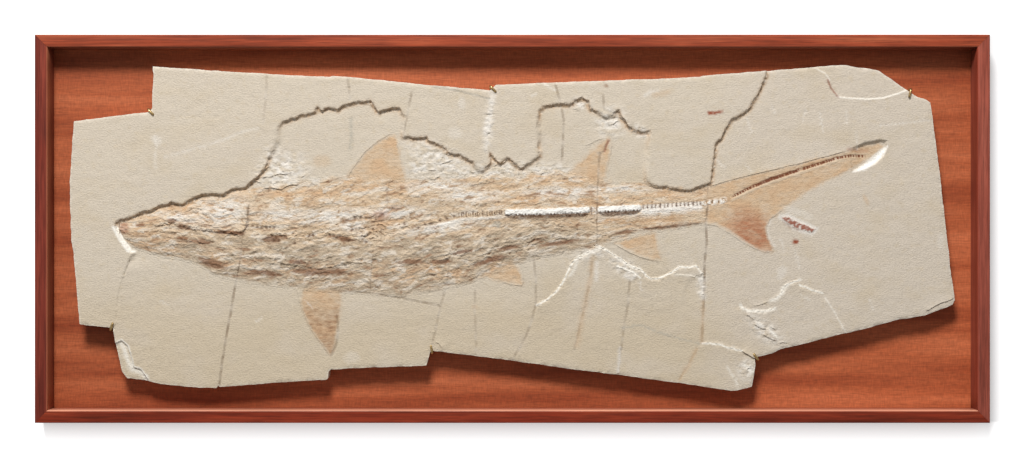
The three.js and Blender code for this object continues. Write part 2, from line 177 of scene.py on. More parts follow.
# Pits where the first vertebrae were: place and radius
PITS = [
    (247, 226, 1.6), (252.6, 226, 1.3), (257.4, 227, 1.2), (262, 228, 1.5), (266.5, 227.5, 1.6),
    (270, 227.2, 1.3), (274, 228, 1.4), (272, 236, 1.5), (276.5, 238, 1.6), (281, 236.5, 1.3),
    (285, 236.5, 1.6), (274, 240.5, 1.8), (279, 241, 1.2), (295, 243.5, 1.3), (309, 236.5, 1.2),
    (313, 235.5, 1.3), (330, 236, 1.3), (334, 236.5, 1.7), (337, 238, 1.4), (340, 237, 1.2),
    (346, 239, 2.0), (349, 241, 1.5), (352, 230, 1.4), (356, 229, 1.2), (355, 218, 1.5),
    (361, 217.5, 1.2), (363, 240, 1.2), (366, 242, 1.3), (382, 215, 2.0), (404.5, 224, 1.5),
    (418, 228, 1.4), (425, 224.3, 1.4), (431, 223.5, 1.6), (440, 221, 1.2), (447, 219, 1.2),
    (454, 216.5, 1.2),
]
RED_SPECKS = ((372, 231), (20, 15), 0)
# Columns where the backbone changes its look
WHITE_BAR = (425, 503)
FRONT_TICKS = (458, 503.5)
FIRST_BARE_BONE = (505, 590)
SECOND_BARE_BONE = (597.6, 641)
BONE_GAP = (590.4, 597.4)
GAP_BARS = (591.4, 597)
REAR_BONE = (642, 702)
BONE_CLUMP = (702, 726)
TAIL_BONE = (733, 866)
PALE_LIP = (731, 845)
TAIL_BREAK = (799.5, 803)
GROOVE_COLUMNS = (732, 868)
RED_ROW_COLUMNS = (732, 770, 868)
SLANTED_STREAKS = [(285, 230), (430, 230)]
SKULL_EDGE = [
    (146, 219), (150, 222), (157, 225.5), (165, 224), (174, 223), (186, 227), (207, 230), (220, 231),
    (235, 234), (243, 231), (247, 225), (249, 207),
]

# Broken edges: height in millimetres, how far the raised side takes to ease off, and the route.
# The side on the left of the route is the raised one.
TORN_LAYERS = [
    (0.8, 4, [(471, 204.7), (479, 204.7), (491, 202), (499, 201.5), (506, 202), (510, 204.7), (520, 203),
              (530, 202.5), (534, 204.7), (543, 202.5), (548, 198.7), (551.5, 201.5), (557, 205.3),
              (570, 204.7), (582, 203.6), (590, 205.3)]),
    (1.1, 4, [(469, 185.8), (475.5, 184.2), (484, 183.5), (488, 181.5), (492, 179.8)]),
    (0.8, 3, [(523, 186.3), (531, 189), (538.5, 190)]),
    (0.8, 3, [(282, 223.5), (290, 225), (297, 224), (309, 224)]),
    (0.9, 4, [(392, 192), (402, 193.5), (415, 196.4), (430, 194.8)]),
    (1.1, 4, [(355, 214), (363, 216.5), (370, 217.5), (377, 213)]),
    (0.9, 4, [(503, 250), (509, 248), (516, 246.5), (524, 248)]),
    (1.1, 4, [(177, 238), (190, 241), (203, 243), (215, 241)]),
    (1.0, 5, [(200, 260), (212, 264), (225, 267)]),
    (0.7, 4, [(484, 235.5), (491, 234), (499, 233.5)]),
    (0.9, 4, [(525, 246), (536, 243.5), (549, 242), (560, 239), (571, 237.5)]),
    (1.0, 4, [(524, 260), (533, 256.5), (549, 255), (558, 252.5), (566, 250.5)]),
    (1.6, 8, [(277, 262), (290, 265), (303, 266), (312, 267.5), (321, 268.3), (329, 267.5), (336, 266),
              (342, 263.4), (352, 262.8), (361, 263.4), (368, 262)]),
    (0.9, 4, [(225, 252), (236, 256), (250, 257), (262, 261)]),
    (0.9, 3, [(643, 228.8), (656, 227.5), (670, 226.8), (681, 225), (694, 223.5), (706, 222.2)]),
    (0.8, 3, [(609, 224), (614, 224.3), (621, 223)]),
    (0.7, 4, [(318, 205), (330, 203), (343, 205), (352, 203)]),
    (0.7, 3, [(600, 186), (612, 188), (626, 187), (640, 190)]),
]
BROKEN_EDGES = [
    (1.7, 6, [(263, 188.2), (270, 188), (274, 188.6), (281, 189.6), (284, 188), (288, 186), (293, 185),
              (300, 184.6)]),
    (1.5, 5, [(261, 179), (264, 177.5), (270, 177.3), (273, 176.2), (277, 174.6), (281, 174.2),
              (290, 174.3)]),
    (1.6, 5, [(262, 173.5), (265, 169.5), (268, 167.3), (272, 166.5)]),
    (1.5, 4, [(248, 186), (252, 183), (255, 181.5), (260, 182.5), (262, 184)]),
    (1.0, 3, [(255, 175), (258, 177.5), (261, 179.5)]),
    (0.8, 3, [(300.5, 178), (304, 176), (306.5, 174.5)]),
    (0.9, 3, [(280, 172), (284, 171), (288, 170.5), (291, 172)]),
    (1.2, 3, [(427, 171.5), (430, 170.5), (436, 170.5)]),
    (1.0, 4, [(438.5, 166), (443, 163.5), (449, 161.5), (453, 159)]),
    (1.3, 3, [(443.5, 153), (447, 154.5), (450, 156)]),
    (1.1, 3, [(427, 178), (434, 180), (438, 178), (441, 175)]),
    (1.0, 3, [(455, 170.5), (458, 172), (459, 175.5)]),
    (1.6, 4, [(491.5, 156), (495, 160), (499, 163), (503, 163), (507, 161.5)]),
    (1.1, 3, [(492, 167.5), (497, 164.5), (500, 164)]),
    (1.2, 3, [(537, 150), (538.5, 153), (540, 157)]),
    (0.9, 3, [(571.5, 108.5), (576, 109), (580, 110.5)]),
    (0.7, 2, [(573, 102.5), (578, 98.5), (582, 96.5), (586, 100), (588, 102.5), (589, 105)]),
    (1.3, 4, [(601, 115), (604, 117), (609, 118.5)]),
    (1.3, 4, [(612, 113), (619, 110), (621, 116), (624, 119.5), (628, 126), (630, 128)]),
    (0.9, 3, [(637, 128), (641, 127.5), (646, 129)]),
    (0.9, 3, [(612, 125), (616, 122), (620, 120)]),
    (0.9, 4, [(752, 306), (757, 306), (762, 304.5), (766, 303), (769, 300.5)]),
    (1.5, 4, [(745, 314), (748, 315.5), (752, 318.5), (755, 321)]),
    (1.5, 4, [(753, 323), (758, 327), (762, 329), (768, 329.5)]),
    (1.2, 3, [(769, 326.5), (773, 328), (777, 330.5)]),
    (1.5, 4, [(762, 334), (767, 337), (772, 339.5), (778, 341)]),
    (1.3, 4, [(778, 344), (783, 342.5), (789, 343.5)]),
    (1.5, 12, [(775, 308), (768, 311), (760, 312), (750, 311), (744, 309), (741, 305)]),
    (1.0, 5, [(777, 337), (774, 334), (770, 330)]),
    (1.3, 14, [(801, 280), (795, 281.5), (790, 283.5), (785, 286), (783, 290), (779, 296), (772, 299)]),
    (1.0, 12, [(823, 293.5), (817, 292), (811, 290), (806, 287.5), (800, 285)]),
    (0.6, 12, [(845, 331), (841, 324), (837, 317), (834, 312), (830, 305), (825, 298)]),
    (1.8, 22, [(703, 276), (700, 270), (696.5, 266), (690, 267.5), (680, 267), (675, 270.5), (668, 274.5),
               (658, 279), (651, 279), (646, 276), (642, 271), (632, 267), (626, 263), (618, 258),
               (612, 254), (604, 249), (597, 245.5), (588, 253), (580, 257), (575, 260), (571, 265),
               (567.5, 273), (563, 282), (556, 292), (548, 299.5), (536.5, 305)]),
    (0.9, 5, [(640, 278), (632, 271.5), (624, 268.5), (617, 266)]),
    (0.7, 5, [(697, 277), (685, 275), (675, 274)]),
    (1.0, 12, [(745, 352), (730, 348), (715, 344), (702, 343)]),
    (2.2, 7, [(741, 350.5), (747, 354), (752, 357), (757, 360)]),
    (1.5, 5, [(434.5, 341.5), (438, 343.5), (441, 347), (442.5, 350)]),
    (1.6, 6, [(925, 312), (933, 307), (942, 302.5), (955, 298)]),
]
FIN_EDGES = [
    (0.7, 5, [(345, 182), (352, 170), (365, 152), (378, 141), (388, 135), (392, 134.5)]),
    (0.4, 5, [(395, 138), (399, 150), (403, 168)]),
    (0.6, 5, [(584, 147), (592, 143), (598, 140), (604, 138)]),
    (0.6, 5, [(607, 168), (609.5, 158), (611, 152), (611.5, 147), (610, 141)]),
    (0.9, 5, [(709, 187), (725, 181.5), (740, 177.5), (770, 170.5), (800, 163.5), (847, 151)]),
    (0.9, 4, [(614, 243.5), (619, 247), (626, 251), (634, 254.5), (641, 257.5), (650, 260), (659, 261.5)]),
    (0.7, 4, [(500, 282), (510, 284.5), (522, 286), (524, 282), (522, 272), (517, 263)]),
    (0.6, 4, [(704, 224), (716, 226), (730, 234), (742, 242), (755, 249), (766, 252.5), (775, 251)]),
    (0.5, 4, [(774, 250), (768, 240), (766, 229), (770, 220), (784, 209)]),
    (0.6, 4, [(296, 288), (302, 310), (311, 330), (330, 356)]),
]

# Where the ledge round the lower bedding is worn to a slope
WORN_LEDGE = [
    ((275, 140), (11, 22), 0), ((404, 126), (7, 12), 0), ((607, 114), (9, 8), 0), ((649, 160), (9, 24), 0),
    ((537, 132), (7, 13), 0), ((529, 157), (12, 7), -38), ((479, 168), (7, 7), 0),
]
# Crumbled, chalky stone: centre, half sizes, turn in degrees
RUBBLE = [
    ((283, 172), (26, 19), -15), ((273, 155), (8, 9), 0), ((440, 160), (34, 15), 25),
    ((505, 170), (34, 9), 0), ((611, 122), (15, 15), 0), ((480, 176), (34, 9), 0),
    ((548, 172), (26, 9), 0), ((582, 103), (10, 6), 0), ((640, 132), (11, 6), 25),
    ((765, 330), (22, 9), 42), ((590, 254), (16, 5), -8), ((625, 268), (17, 8), 30),
    ((702, 286), (5, 15), 0), ((489, 122), (5, 30), 4), ((420, 168), (14, 10), 0),
    ((320, 186), (30, 8), 0), ((747, 370), (9, 10), 0),
]

# Glued breaks and hairlines: half width, depth, how dark, and the route
CRACKS = [
    (0.43, 0.68, 0.64, [(240, 262), (236, 280), (230, 316), (224, 350), (219, 386)]),
    (0.50, 0.68, 0.64, [(249, 205), (247, 228)]),
    (0.43, 0.38, 0.32, [(243, 234), (241, 250), (240, 262)]),
    (0.31, 0.22, 0.24, [(267, 75), (266, 100), (263, 125)]),
    (0.31, 0.30, 0.32, [(348, 79), (349, 90), (350, 101)]),
    (0.31, 0.38, 0.40, [(412, 92), (408, 112), (403, 136)]),
    (0.25, 0.22, 0.28, [(430, 86), (458, 91), (490, 99)]),
    (0.37, 0.45, 0.48, [(555, 84), (560, 102), (564, 120), (562, 160)]),
    (0.31, 0.30, 0.40, [(603, 95), (604, 110)]),
    (0.43, 0.52, 0.48, [(600, 152), (598, 180), (597, 210), (597, 245)]),
    (0.43, 0.75, 0.68, [(708, 204), (706, 222), (707, 240), (705, 262), (704, 300)]),
    (0.74, 0.68, 0.60, [(704, 300), (703, 322), (702, 343)]),
    (0.37, 0.45, 0.40, [(390, 180), (387, 193), (387, 209), (400, 209)]),
    (0.37, 0.45, 0.40, [(373, 255), (371, 275), (370, 290)]),
    (0.37, 0.45, 0.56, [(330, 290), (350, 292), (370, 293), (400, 298), (440, 306)]),
    (0.37, 0.38, 0.32, [(449, 268), (446, 288), (441, 305), (436, 328), (431, 350)]),
    (0.31, 0.30, 0.28, [(475, 290), (475, 310), (476, 355)]),
    (0.31, 0.30, 0.36, [(534, 260), (536, 280), (536, 303)]),
    (0.31, 0.30, 0.36, [(536, 304), (534, 312), (527, 335), (512, 361)]),
    (0.43, 0.30, 0.40, [(592, 262), (590, 280), (584, 310), (574, 350)]),
    (0.31, 0.38, 0.40, [(630, 280), (627, 310), (622, 342), (618, 375)]),
    (0.56, 0.22, 0.28, [(697, 349), (690, 362), (679, 380)]),
    (0.43, 0.38, 0.56, [(609, 141), (606, 145), (605, 150), (602, 152.5), (598, 153.5)]),
    (0.43, 0.45, 0.48, [(337, 315), (338, 332), (336, 345), (331, 356)]),
    (0.37, 0.38, 0.48, [(828, 80), (831, 88), (838, 97)]),
]

# Thin pale or coloured lines and patches: tint, strength, half width, and the route
# Pale lines along broken edges: pale stone with a painted highlight where the edges face the lamp
TINT_LINES = [
    ("break_highlight", 0.92, 0.58, [(536.5, 305), (548, 299.5), (556, 292), (563, 282), (567.5, 273), (571, 265),
                         (575, 260), (580, 257)]),
    ("break_highlight", 0.74, 1.30, [(569, 276), (573, 272), (576, 265), (577, 262)]),
    ("break_highlight", 0.64, 1.73, [(580, 255), (588, 254), (597, 251), (600, 247)]),
    ("break_highlight", 0.74, 1.15, [(597, 245.5), (604, 249), (612, 254), (618, 258), (626, 263), (632, 267)]),
    ("break_highlight", 0.83, 0.65, [(617, 266), (624, 268.5), (632, 271.5), (640, 278)]),
    ("break_highlight", 0.83, 1.01, [(632, 267), (640, 269), (642, 271), (646, 276)]),
    ("chalk", 0.83, 1.92, [(626, 276), (632, 278.5), (635, 276)]),
    ("break_highlight", 0.92, 0.65, [(646, 276), (651, 279), (658, 279), (668, 274.5), (675, 270.5), (680, 267),
                         (690, 267.5), (696.5, 266)]),
    ("break_highlight", 0.41, 1.08, [(675, 274), (685, 275), (697, 277)]),
    ("break_highlight", 0.64, 0.58, [(696.5, 266), (699, 270), (703, 274)]),
    ("chalk", 0.64, 2.40, [(701, 280), (702, 290), (703, 298)]),
    ("break_highlight", 0.83, 0.72, [(702, 343), (715, 344), (730, 348), (742, 351)]),
    ("break_highlight", 0.83, 1.37, [(741, 305), (744, 309), (750, 311), (760, 312), (768, 311), (775, 308)]),
    ("break_highlight", 0.83, 1.87, [(771, 300.5), (777, 298.5), (782, 293), (784, 288), (787, 285)]),
    ("break_highlight", 0.92, 0.65, [(787, 285), (790, 283.5), (795, 281.5), (801, 280)]),
    ("break_highlight", 0.92, 0.65, [(800, 285), (806, 287.5), (811, 290), (817, 292), (823, 293.5)]),
    ("break_highlight", 0.46, 0.65, [(825, 298), (830, 305), (834, 312), (837, 317), (841, 324), (845, 331)]),
    ("break_highlight", 0.37, 0.58, [(800, 294), (805, 298), (810, 300)]),
    ("break_highlight", 0.74, 0.86, [(770, 330), (774, 334), (777, 337)]),
    ("break_highlight", 0.46, 0.58, [(815, 68), (825, 73), (830, 80)]),
    ("break_highlight", 0.74, 0.58, [(838, 97), (850, 98.5), (870, 99), (885, 97.5), (900, 93), (907, 90)]),
    ("break_highlight", 0.55, 0.86, [(543, 83), (549, 87), (555, 90)]),
    ("break_highlight", 0.83, 0.86, [(116, 343), (122, 340), (127, 345), (131, 355), (134, 367), (141, 369),
                           (148, 380)]),
    ("break_highlight", 0.64, 1.44, [(745, 365), (749, 369), (753, 372)]),
    ("break_highlight", 0.55, 0.86, [(727, 367), (733, 376), (738, 387)]),
    ("break_highlight", 0.80, 2.80, [(121, 344), (125, 352), (128, 362), (133, 370), (142, 373), (147, 379)]),
    ("chalk", 0.40, 1.30, [(155, 136), (157, 146), (155, 158), (157, 168)]),
    ("chalk", 0.45, 1.10, [(165, 157), (190, 150), (215, 143), (240, 133), (258, 128)]),
    ("chalk", 0.46, 0.72, [(771, 220), (767, 228), (769, 238), (775, 247), (778, 250)]),
    ("chalk", 0.55, 2.72, [(493, 96), (490, 112), (487, 131), (486, 148)]),
    ("chalk", 0.64, 1.76, [(596.5, 262), (596, 280)]),
    ("chalk", 0.55, 1.44, [(620, 348), (618, 372)]),
    ("chalk", 0.64, 1.76, [(645, 95), (650, 92.5), (657, 91)]),
    ("chalk", 0.55, 1.28, [(532, 96), (536, 94.5)]),
    ("chalk", 0.46, 1.92, [(607, 118), (606, 128), (612, 128)]),
    ("smoke", 0.64, 1.60, [(351, 118), (351, 133), (350.5, 148)]),
    ("smoke", 0.55, 0.64, [(622, 328), (641, 325), (660, 333), (700, 344)]),
    ("smoke", 0.46, 0.64, [(430, 86), (458, 91), (490, 99)]),
    ("tan", 0.46, 3.00, [(592, 258), (591, 275), (586, 300), (577, 345)]),
    ("tan", 0.55, 1.80, [(697, 349), (690, 362), (680, 379)]),
    ("tan", 0.46, 2.00, [(703, 302), (702, 342)]),
    ("tan", 0.46, 3.00, [(655, 95), (668, 92)]),
    ("rust", 1.60, 1.20, [(709, 113.5), (713, 113), (717, 113), (721, 111.5)]),
    ("rust", 0.46, 1.00, [(828, 80), (831, 88), (838, 97)]),
    ("rust", 0.46, 1.30, [(609, 140), (606, 146), (605, 151)]),
    ("rust", 0.32, 1.80, [(848, 149), (858, 151), (868, 151)]),
    ("brown", 0.74, 1.10, [(137, 225.5), (140, 224.5), (144, 224.5)]),
    ("brown", 0.64, 1.20, [(170, 206.5), (175, 205.5), (181, 207)]),
    ("brown", 0.64, 0.90, [(178, 238.5), (183, 237), (187, 239)]),
    ("brown", 0.55, 0.90, [(177, 241), (188, 242), (202, 244), (213, 242)]),
    ("brown", 0.64, 1.00, [(219, 230.5), (230, 232), (243, 233)]),
    ("brown", 0.46, 1.80, [(200, 259), (212, 264), (226, 268)]),
    ("brown", 0.55, 0.90, [(328, 237), (336, 236), (345, 238)]),
    ("brown", 0.55, 1.10, [(276, 236), (281, 237), (286, 235)]),
    ("brown", 0.55, 1.10, [(366, 217), (371, 217.5)]),
    ("brown", 0.46, 0.90, [(783, 222), (790, 227), (798, 230)]),
    ("brown", 0.51, 0.90, [(640, 228), (655, 228.5), (670, 227.5), (690, 224.5)]),
]
# Stains: tint, strength, centre, half sizes and turn in degrees
STAINS = [
    ("rust", 1.0, (795.5, 242), (3.4, 2.5), -20), ("rust", 0.45, (124, 228), (5, 6), 0),
    ("rust", 0.3, (382, 215), (9, 5), 0), ("tan", 0.5, (475, 307), (2, 2.4), 0),
    ("brown", 0.5, (232, 210), (2, 1.5), 0), ("smoke", 0.5, (497, 224), (4.5, 3), 0),
    ("chalk", 0.35, (157, 140), (6, 4), 20), ("chalk", 0.3, (455, 133), (7, 6), 0),
    ("chalk", 0.35, (462, 103), (4, 6), 0), ("chalk", 0.35, (800, 213), (16, 4), 20),
    ("chalk", 0.25, (352, 358), (8, 6), 0), ("chalk", 0.4, (782, 272), (4, 8), 25),
    ("chalk", 0.4, (487, 131), (4, 5), 0), ("tan", 0.35, (322, 161), (9, 6), 0),
    ("chalk", 0.25, (941, 240), (4, 8), 0), ("tan", 0.5, (866, 200), (2, 6), -25),
    ("brown", 0.6, (606, 86), (2.4, 2), 0),
]
# Zones of the skin that share a colour or are rough: centre, half sizes and turn in degrees
ORANGE_ZONES = [
    ((375, 178), (42, 18), 0), ((443, 175), (20, 6), -8), ((150, 240), (36, 12), 14),
    ((173, 215), (30, 10), -18), ((585, 176), (28, 9), 0), ((680, 195), (36, 8), 0),
    ((500, 272), (26, 11), 0), ((420, 272), (70, 12), 0), ((545, 178), (26, 6), -8),
    ((300, 196), (50, 9), 0), ((380, 222), (20, 11), 0), ((630, 218), (70, 10), -4),
    ((230, 262), (34, 10), 16), ((330, 275), (44, 10), 4), ((555, 200), (60, 12), 0),
]
GREY_ZONES = [
    ((430, 255), (60, 14), 0), ((560, 236), (46, 9), 0), ((250, 274), (36, 7), 8),
    ((300, 252), (50, 12), 5), ((310, 210), (26, 8), 0), ((610, 226), (30, 6), 0),
    ((440, 208), (50, 8), 0),
]
WHITE_ZONES = [
    ((222, 212), (27, 15), -8), ((470, 196), (30, 6), 0), ((330, 216), (36, 7), -5),
    ((350, 224), (12, 8), 0), ((440, 186), (34, 5), 0), ((560, 192), (40, 5), 0),
    ((620, 189), (34, 4), 0), ((395, 212), (30, 6), 0), ((180, 218), (20, 5), 10),
    ((280, 215), (24, 6), 0), ((655, 212), (50, 4), -4), ((440, 228), (40, 5), -8),
]
ROUGH_ZONES = [
    ((325, 232), (86, 16), -2), ((205, 222), (46, 24), 6), ((280, 264), (60, 14), 6),
    ((515, 244), (80, 14), -14), ((395, 222), (40, 16), 0), ((350, 264), (40, 10), 0),
    ((450, 262), (60, 18), -6),
]
SNOUT_BEVEL = ((123, 240), (9, 13), 0)
DARK_STROKES = [
    ((183, 238.5), (7, 1.8), 8), ((200, 241.5), (11, 2), 4), ((184, 227), (8, 2.6), 10),
    ((172, 221), (5, 2.4), 0), ((141, 225), (4, 1.6), 0), ((212, 263), (14, 4), 16),
    ((228, 232), (16, 2), 4), ((240, 233.5), (6, 2.4), 0), ((216, 278), (3, 1.2), 0),
    ((232, 210), (2.4, 1.6), 0), ((322, 272), (30, 4), 0), ((272, 239), (10, 3.6), 0),
    ((298, 262), (9, 2.4), 0), ((508, 248), (12, 2.4), -10), ((497, 258), (12, 2.6), -12),
    ((484, 262.5), (10, 2.6), -10), ((440, 262), (11, 2.2), -5), ((463, 252), (9, 2), -10),
    ((345, 239), (9, 2.4), 10), ((410, 262), (12, 2.4), 0), ((265, 273), (16, 2.6), 8),
    ((672, 226.5), (30, 2.2), -6), ((560, 243), (20, 2.4), -10), ((625, 232), (16, 2), -6),
]
SCRATCHES = [
    [(820, 112), (823, 132)], [(803, 122), (806, 110)], [(846, 110), (847, 124)], [(747, 117), (752, 132)],
    [(772, 105), (775, 113)], [(715, 158), (725, 168)], [(745, 165), (753, 172)], [(795, 250), (800, 268)],
    [(640, 281), (641, 290)], [(880, 126), (930, 120)], [(781, 240), (784, 252)], [(856, 132), (858, 150)],
    [(305, 300), (312, 308)], [(256, 322), (262, 318)], [(160, 300), (168, 305)], [(870, 300), (874, 310)],
]

# Columns or rows between which a form or a colour sets in or dies out
SOFT_EDGE_COLUMNS = (210, 290)
SNOUT_COLUMNS = (140, 190)
SNOUT_LEVEL_ROWS = (254, 272)
SNOUT_MOAT_ROWS = (228, 250)
HEAD_COLUMNS = (255, 280)
HEAD_ROWS = (226, 240)
SKULL_START = (140, 165)
SKULL_STOP = (246, 249)
SKULL_SHADE = (150, 249)
SKULL_SHADE_COLUMNS = (205, 230)
CALM_SKIN_COLUMNS = (590, 690)
SLIM_BODY_COLUMNS = (540, 708)
REAR_SKIN_COLUMNS = (600, 680)
GREY_BELLY_COLUMNS = (540, 640)
RECESS_COLUMNS = (846, 864)
WARM_STONE_ROWS = (260, 340)
WARM_STONE_COLUMNS = (700, 800)
GREY_STONE_COLUMNS = (690, 760)
PECTORAL_ROOT_ROWS = (280, 306)
PECTORAL_TIP_ROWS = (292, 325)
LEDGE_TINT_ROWS = (226, 232)
SNOUT_HIGHLIGHT_ROWS = (226, 252.5)

# Places: the red lobe of the tail, the ends of the fine mesh on the backbone, and corners beyond the chips
TAIL_LOBE = ((752, 234), (26, 20), 40)
TAIL_MESH_START = (700, 0)
TRUNK_MESH_STOP = (712, 0)
LEFT_CHIP_CORNER = (100, 395)
TOP_RIGHT_CHIP_CORNER = (920, 50)

# Seeds
ROUGH_EDGE_SEED = 11
POINT_SEED = 5

# Light level of a white surface that faces up, used to turn seen colours into surface colours
LIGHT_LEVEL = 1.18


def to_mm(points):
    xy = np.asarray(points, float)
    return np.stack([
        (xy[:, 0] - TRACED_CENTRE[0]) * SCALE,
        (TRACED_CENTRE[1] - xy[:, 1]) * SCALE,
    ], axis=1)


def seen(red, green, blue):
    """Surface colour, linear, that looks like this screen colour in the scene's light."""
    screen = np.array([red, green, blue]) / 255
    linear = np.where(screen <= 0.04045, screen / 12.92, ((screen + 0.055) / 1.055) ** 2.4)
    return linear / LIGHT_LEVEL


# Small mathematics
def smooth(low, high, value):
    t = np.clip((value - low) / (high - low), 0, 1)
    return t * t * (3 - 2 * t)


def span(value, low, high, fade):
    return smooth(low - fade, low + fade, value) * (1 - smooth(high - fade, high + fade, value))


def scrambled(column, row, seed):
    """A fixed random whole number for each cell of a grid."""
    h = column * 374761393 + row * 668265263 + seed * 974634777
    h = ((h ^ (h >> 13)) * 1274126177) & 0xFFFFFFFF
    return h ^ (h >> 16)


def noise(x, y, seed):
    """Gradient noise, about -1 to 1."""
    x0 = np.floor(x).astype(np.int64)
    y0 = np.floor(y).astype(np.int64)
    fx = x - x0
    fy = y - y0

    def corner(dx, dy):
        angle = scrambled(x0 + dx, y0 + dy, seed) * (2 * math.pi / 0xFFFFFFFF)
        return np.cos(angle) * (fx - dx) + np.sin(angle) * (fy - dy)

    sx = fx * fx * fx * (fx * (fx * 6 - 15) + 10)
    sy = fy * fy * fy * (fy * (fy * 6 - 15) + 10)
    low = corner(0, 0) + sx * (corner(1, 0) - corner(0, 0))
    high = corner(0, 1) + sx * (corner(1, 1) - corner(0, 1))
    return 1.5 * (low + sy * (high - low))


def fbm(x, y, octaves, seed):
    total = np.zeros_like(x)
    size = 1.0
    for octave in range(octaves):
        total += size * noise(x * 2 ** octave, y * 2 ** octave, seed + octave)
        size *= 0.5
    return total


def ridged(x, y, seed):
    """Sharp crests and round valleys, about -1 to 1."""
    return 1 - 2.6 * np.abs(noise(x, y, seed))


def facets(x, y, seed):
    """Flat chips about one unit across, each at its own level and tilt, about -1 to 1."""
    column = np.floor(x).astype(np.int64)
    row = np.floor(y).astype(np.int64)
    nearest = np.full(x.shape, 9.0)
    height = np.zeros(x.shape)
    for dx in (-1, 0, 1):
        for dy in (-1, 0, 1):
            place = scrambled(column + dx, row + dy, seed)
            tilt = scrambled(column + dx, row + dy, seed + 1)
            off_x = x - column - dx - (place & 1023) / 1023
            off_y = y - row - dy - (place >> 10 & 1023) / 1023
            level = (tilt & 1023) / 1023 - 0.5
            lean_x = (tilt >> 10 & 1023) / 1023 - 0.5
            lean_y = (tilt >> 20 & 1023) / 1023 - 0.5
            gap = off_x ** 2 + off_y ** 2
            closer = gap < nearest
            nearest = np.where(closer, gap, nearest)
            height = np.where(closer, level + 1.6 * (lean_x * off_x + lean_y * off_y), height)
    return height


def distance_to(x, y, line, reach=40.0):
    """Distance to an open line, its arc length there, and the side: positive on its left."""
    order = np.argsort(x)
    sorted_x = x[order]
    best = np.full(x.shape, reach)
    along = np.zeros(x.shape)
    side = np.ones(x.shape)
    start = 0.0
    for (ax, ay), (bx, by) in zip(line[:-1], line[1:]):
        length = math.hypot(bx - ax, by - ay)
        if length == 0:
            continue
        first, last = np.searchsorted(sorted_x, (min(ax, bx) - reach, max(ax, bx) + reach))
        near = order[first:last]
        near = near[(y[near] > min(ay, by) - reach) & (y[near] < max(ay, by) + reach)]
        ux = (bx - ax) / length
        uy = (by - ay) / length
        px = x[near] - ax
        py = y[near] - ay
        run = np.clip(px * ux + py * uy, 0, length)
        gap = np.hypot(px - run * ux, py - run * uy)
        closer = gap < best[near]
        chosen = near[closer]
        best[chosen] = gap[closer]
        along[chosen] = start + run[closer]
        side[chosen] = np.where(ux * py[closer] - uy * px[closer] >= 0, 1, -1)
        start += length
    return best, along, side


def within(x, y, loop):
    order = np.argsort(y)
    sorted_y = y[order]
    found = np.zeros(x.shape, bool)
    for (ax, ay), (bx, by) in zip(loop, np.roll(loop, -1, axis=0)):
        if ay == by:
            continue
        first, last = np.searchsorted(sorted_y, (min(ay, by), max(ay, by)))
        band = order[first:last]
        found[band] ^= x[band] < ax + (y[band] - ay) * (bx - ax) / (by - ay)
    return found


def round_loop(loop):
    """A loop as an open line that ends where it starts."""
    return np.vstack([loop, loop[:1]])


def signed(x, y, loop, reach=40.0):
    """Distance to a loop, positive inside it."""
    gap = distance_to(x, y, round_loop(loop), reach)[0]
    return np.where(within(x, y, loop), gap, -gap)


def length_of(line):
    return np.hypot(*np.diff(line, axis=0).T).sum()


def resampled(line, step):
    steps = np.hypot(*np.diff(line, axis=0).T)
    arc = np.concatenate([[0], np.cumsum(steps)])
    count = max(2, int(round(arc[-1] / step)) + 1)
    wanted = np.linspace(0, arc[-1], count)
    return np.stack([np.interp(wanted, arc, line[:, 0]), np.interp(wanted, arc, line[:, 1])], axis=1)


def leftwards(ahead):
    """Unit vectors a quarter turn to the left of some directions."""
    ahead = ahead / np.maximum(np.hypot(*ahead.T), 1e-9)[:, None]
    return np.stack([-ahead[:, 1], ahead[:, 0]], axis=1)


def roughened(points, size, step, seed):
    """A traced line, finely divided and broken up across its run."""
    line = resampled(to_mm(points), step)
    run = np.arange(len(line)) * step
    push = size * fbm(run / 14, np.full(run.shape, 0.37), 4, seed)
    fade = np.minimum(1, np.minimum(run, run[-1] - run) / 6)
    return line + leftwards(np.gradient(line, axis=0)) * (push * fade)[:, None]


def blob(x, y, centre, half_sizes, turn):
    """A soft round mark: 1 in the middle, 0 from its rim outwards."""
    (mx, my), = to_mm([centre])
    angle = math.radians(-turn)
    dx = (x - mx) / SCALE
    dy = (y - my) / SCALE
    u = (dx * math.cos(angle) + dy * math.sin(angle)) / half_sizes[0]
    v = (-dx * math.sin(angle) + dy * math.cos(angle)) / half_sizes[1]
    return np.clip(1.4 - np.hypot(u, v), 0, 1)


def zones(x, y, marks):
    total = np.zeros(x.shape)
    for mark in marks:
        total = np.maximum(total, blob(x, y, *mark))
    return total


def across_photo(x):
    return x / SCALE + TRACED_CENTRE[0]


def down_photo(y):
    return TRACED_CENTRE[1] - y / SCALE


# Traced lines in millimetres, broken up as stone breaks
outline = roughened(SLAB_OUTLINE + SLAB_OUTLINE[:1], 0.45, OUTLINE_STEP, ROUGH_EDGE_SEED)[:-1]
upper_edge = roughened(UPPER_LAYER_EDGE, 1.3, BREAK_STEP, ROUGH_EDGE_SEED + 10)
snout_break = roughened(SNOUT_BREAK, 0.5, BREAK_STEP, ROUGH_EDGE_SEED + 20)
bedding_window = np.vstack([upper_edge, to_mm(BEDDING_SURROUND), snout_break])
left_chip_edge = roughened(LEFT_CHIP_EDGE, 0.6, BREAK_STEP, ROUGH_EDGE_SEED + 50)
left_chip = np.vstack([left_chip_edge, to_mm([LEFT_CHIP_CORNER])])
top_right_chip_edge = roughened(TOP_RIGHT_CHIP_EDGE, 0.6, BREAK_STEP, ROUGH_EDGE_SEED + 60)
top_right_chip = np.vstack([top_right_chip_edge, to_mm([TOP_RIGHT_CHIP_CORNER])])
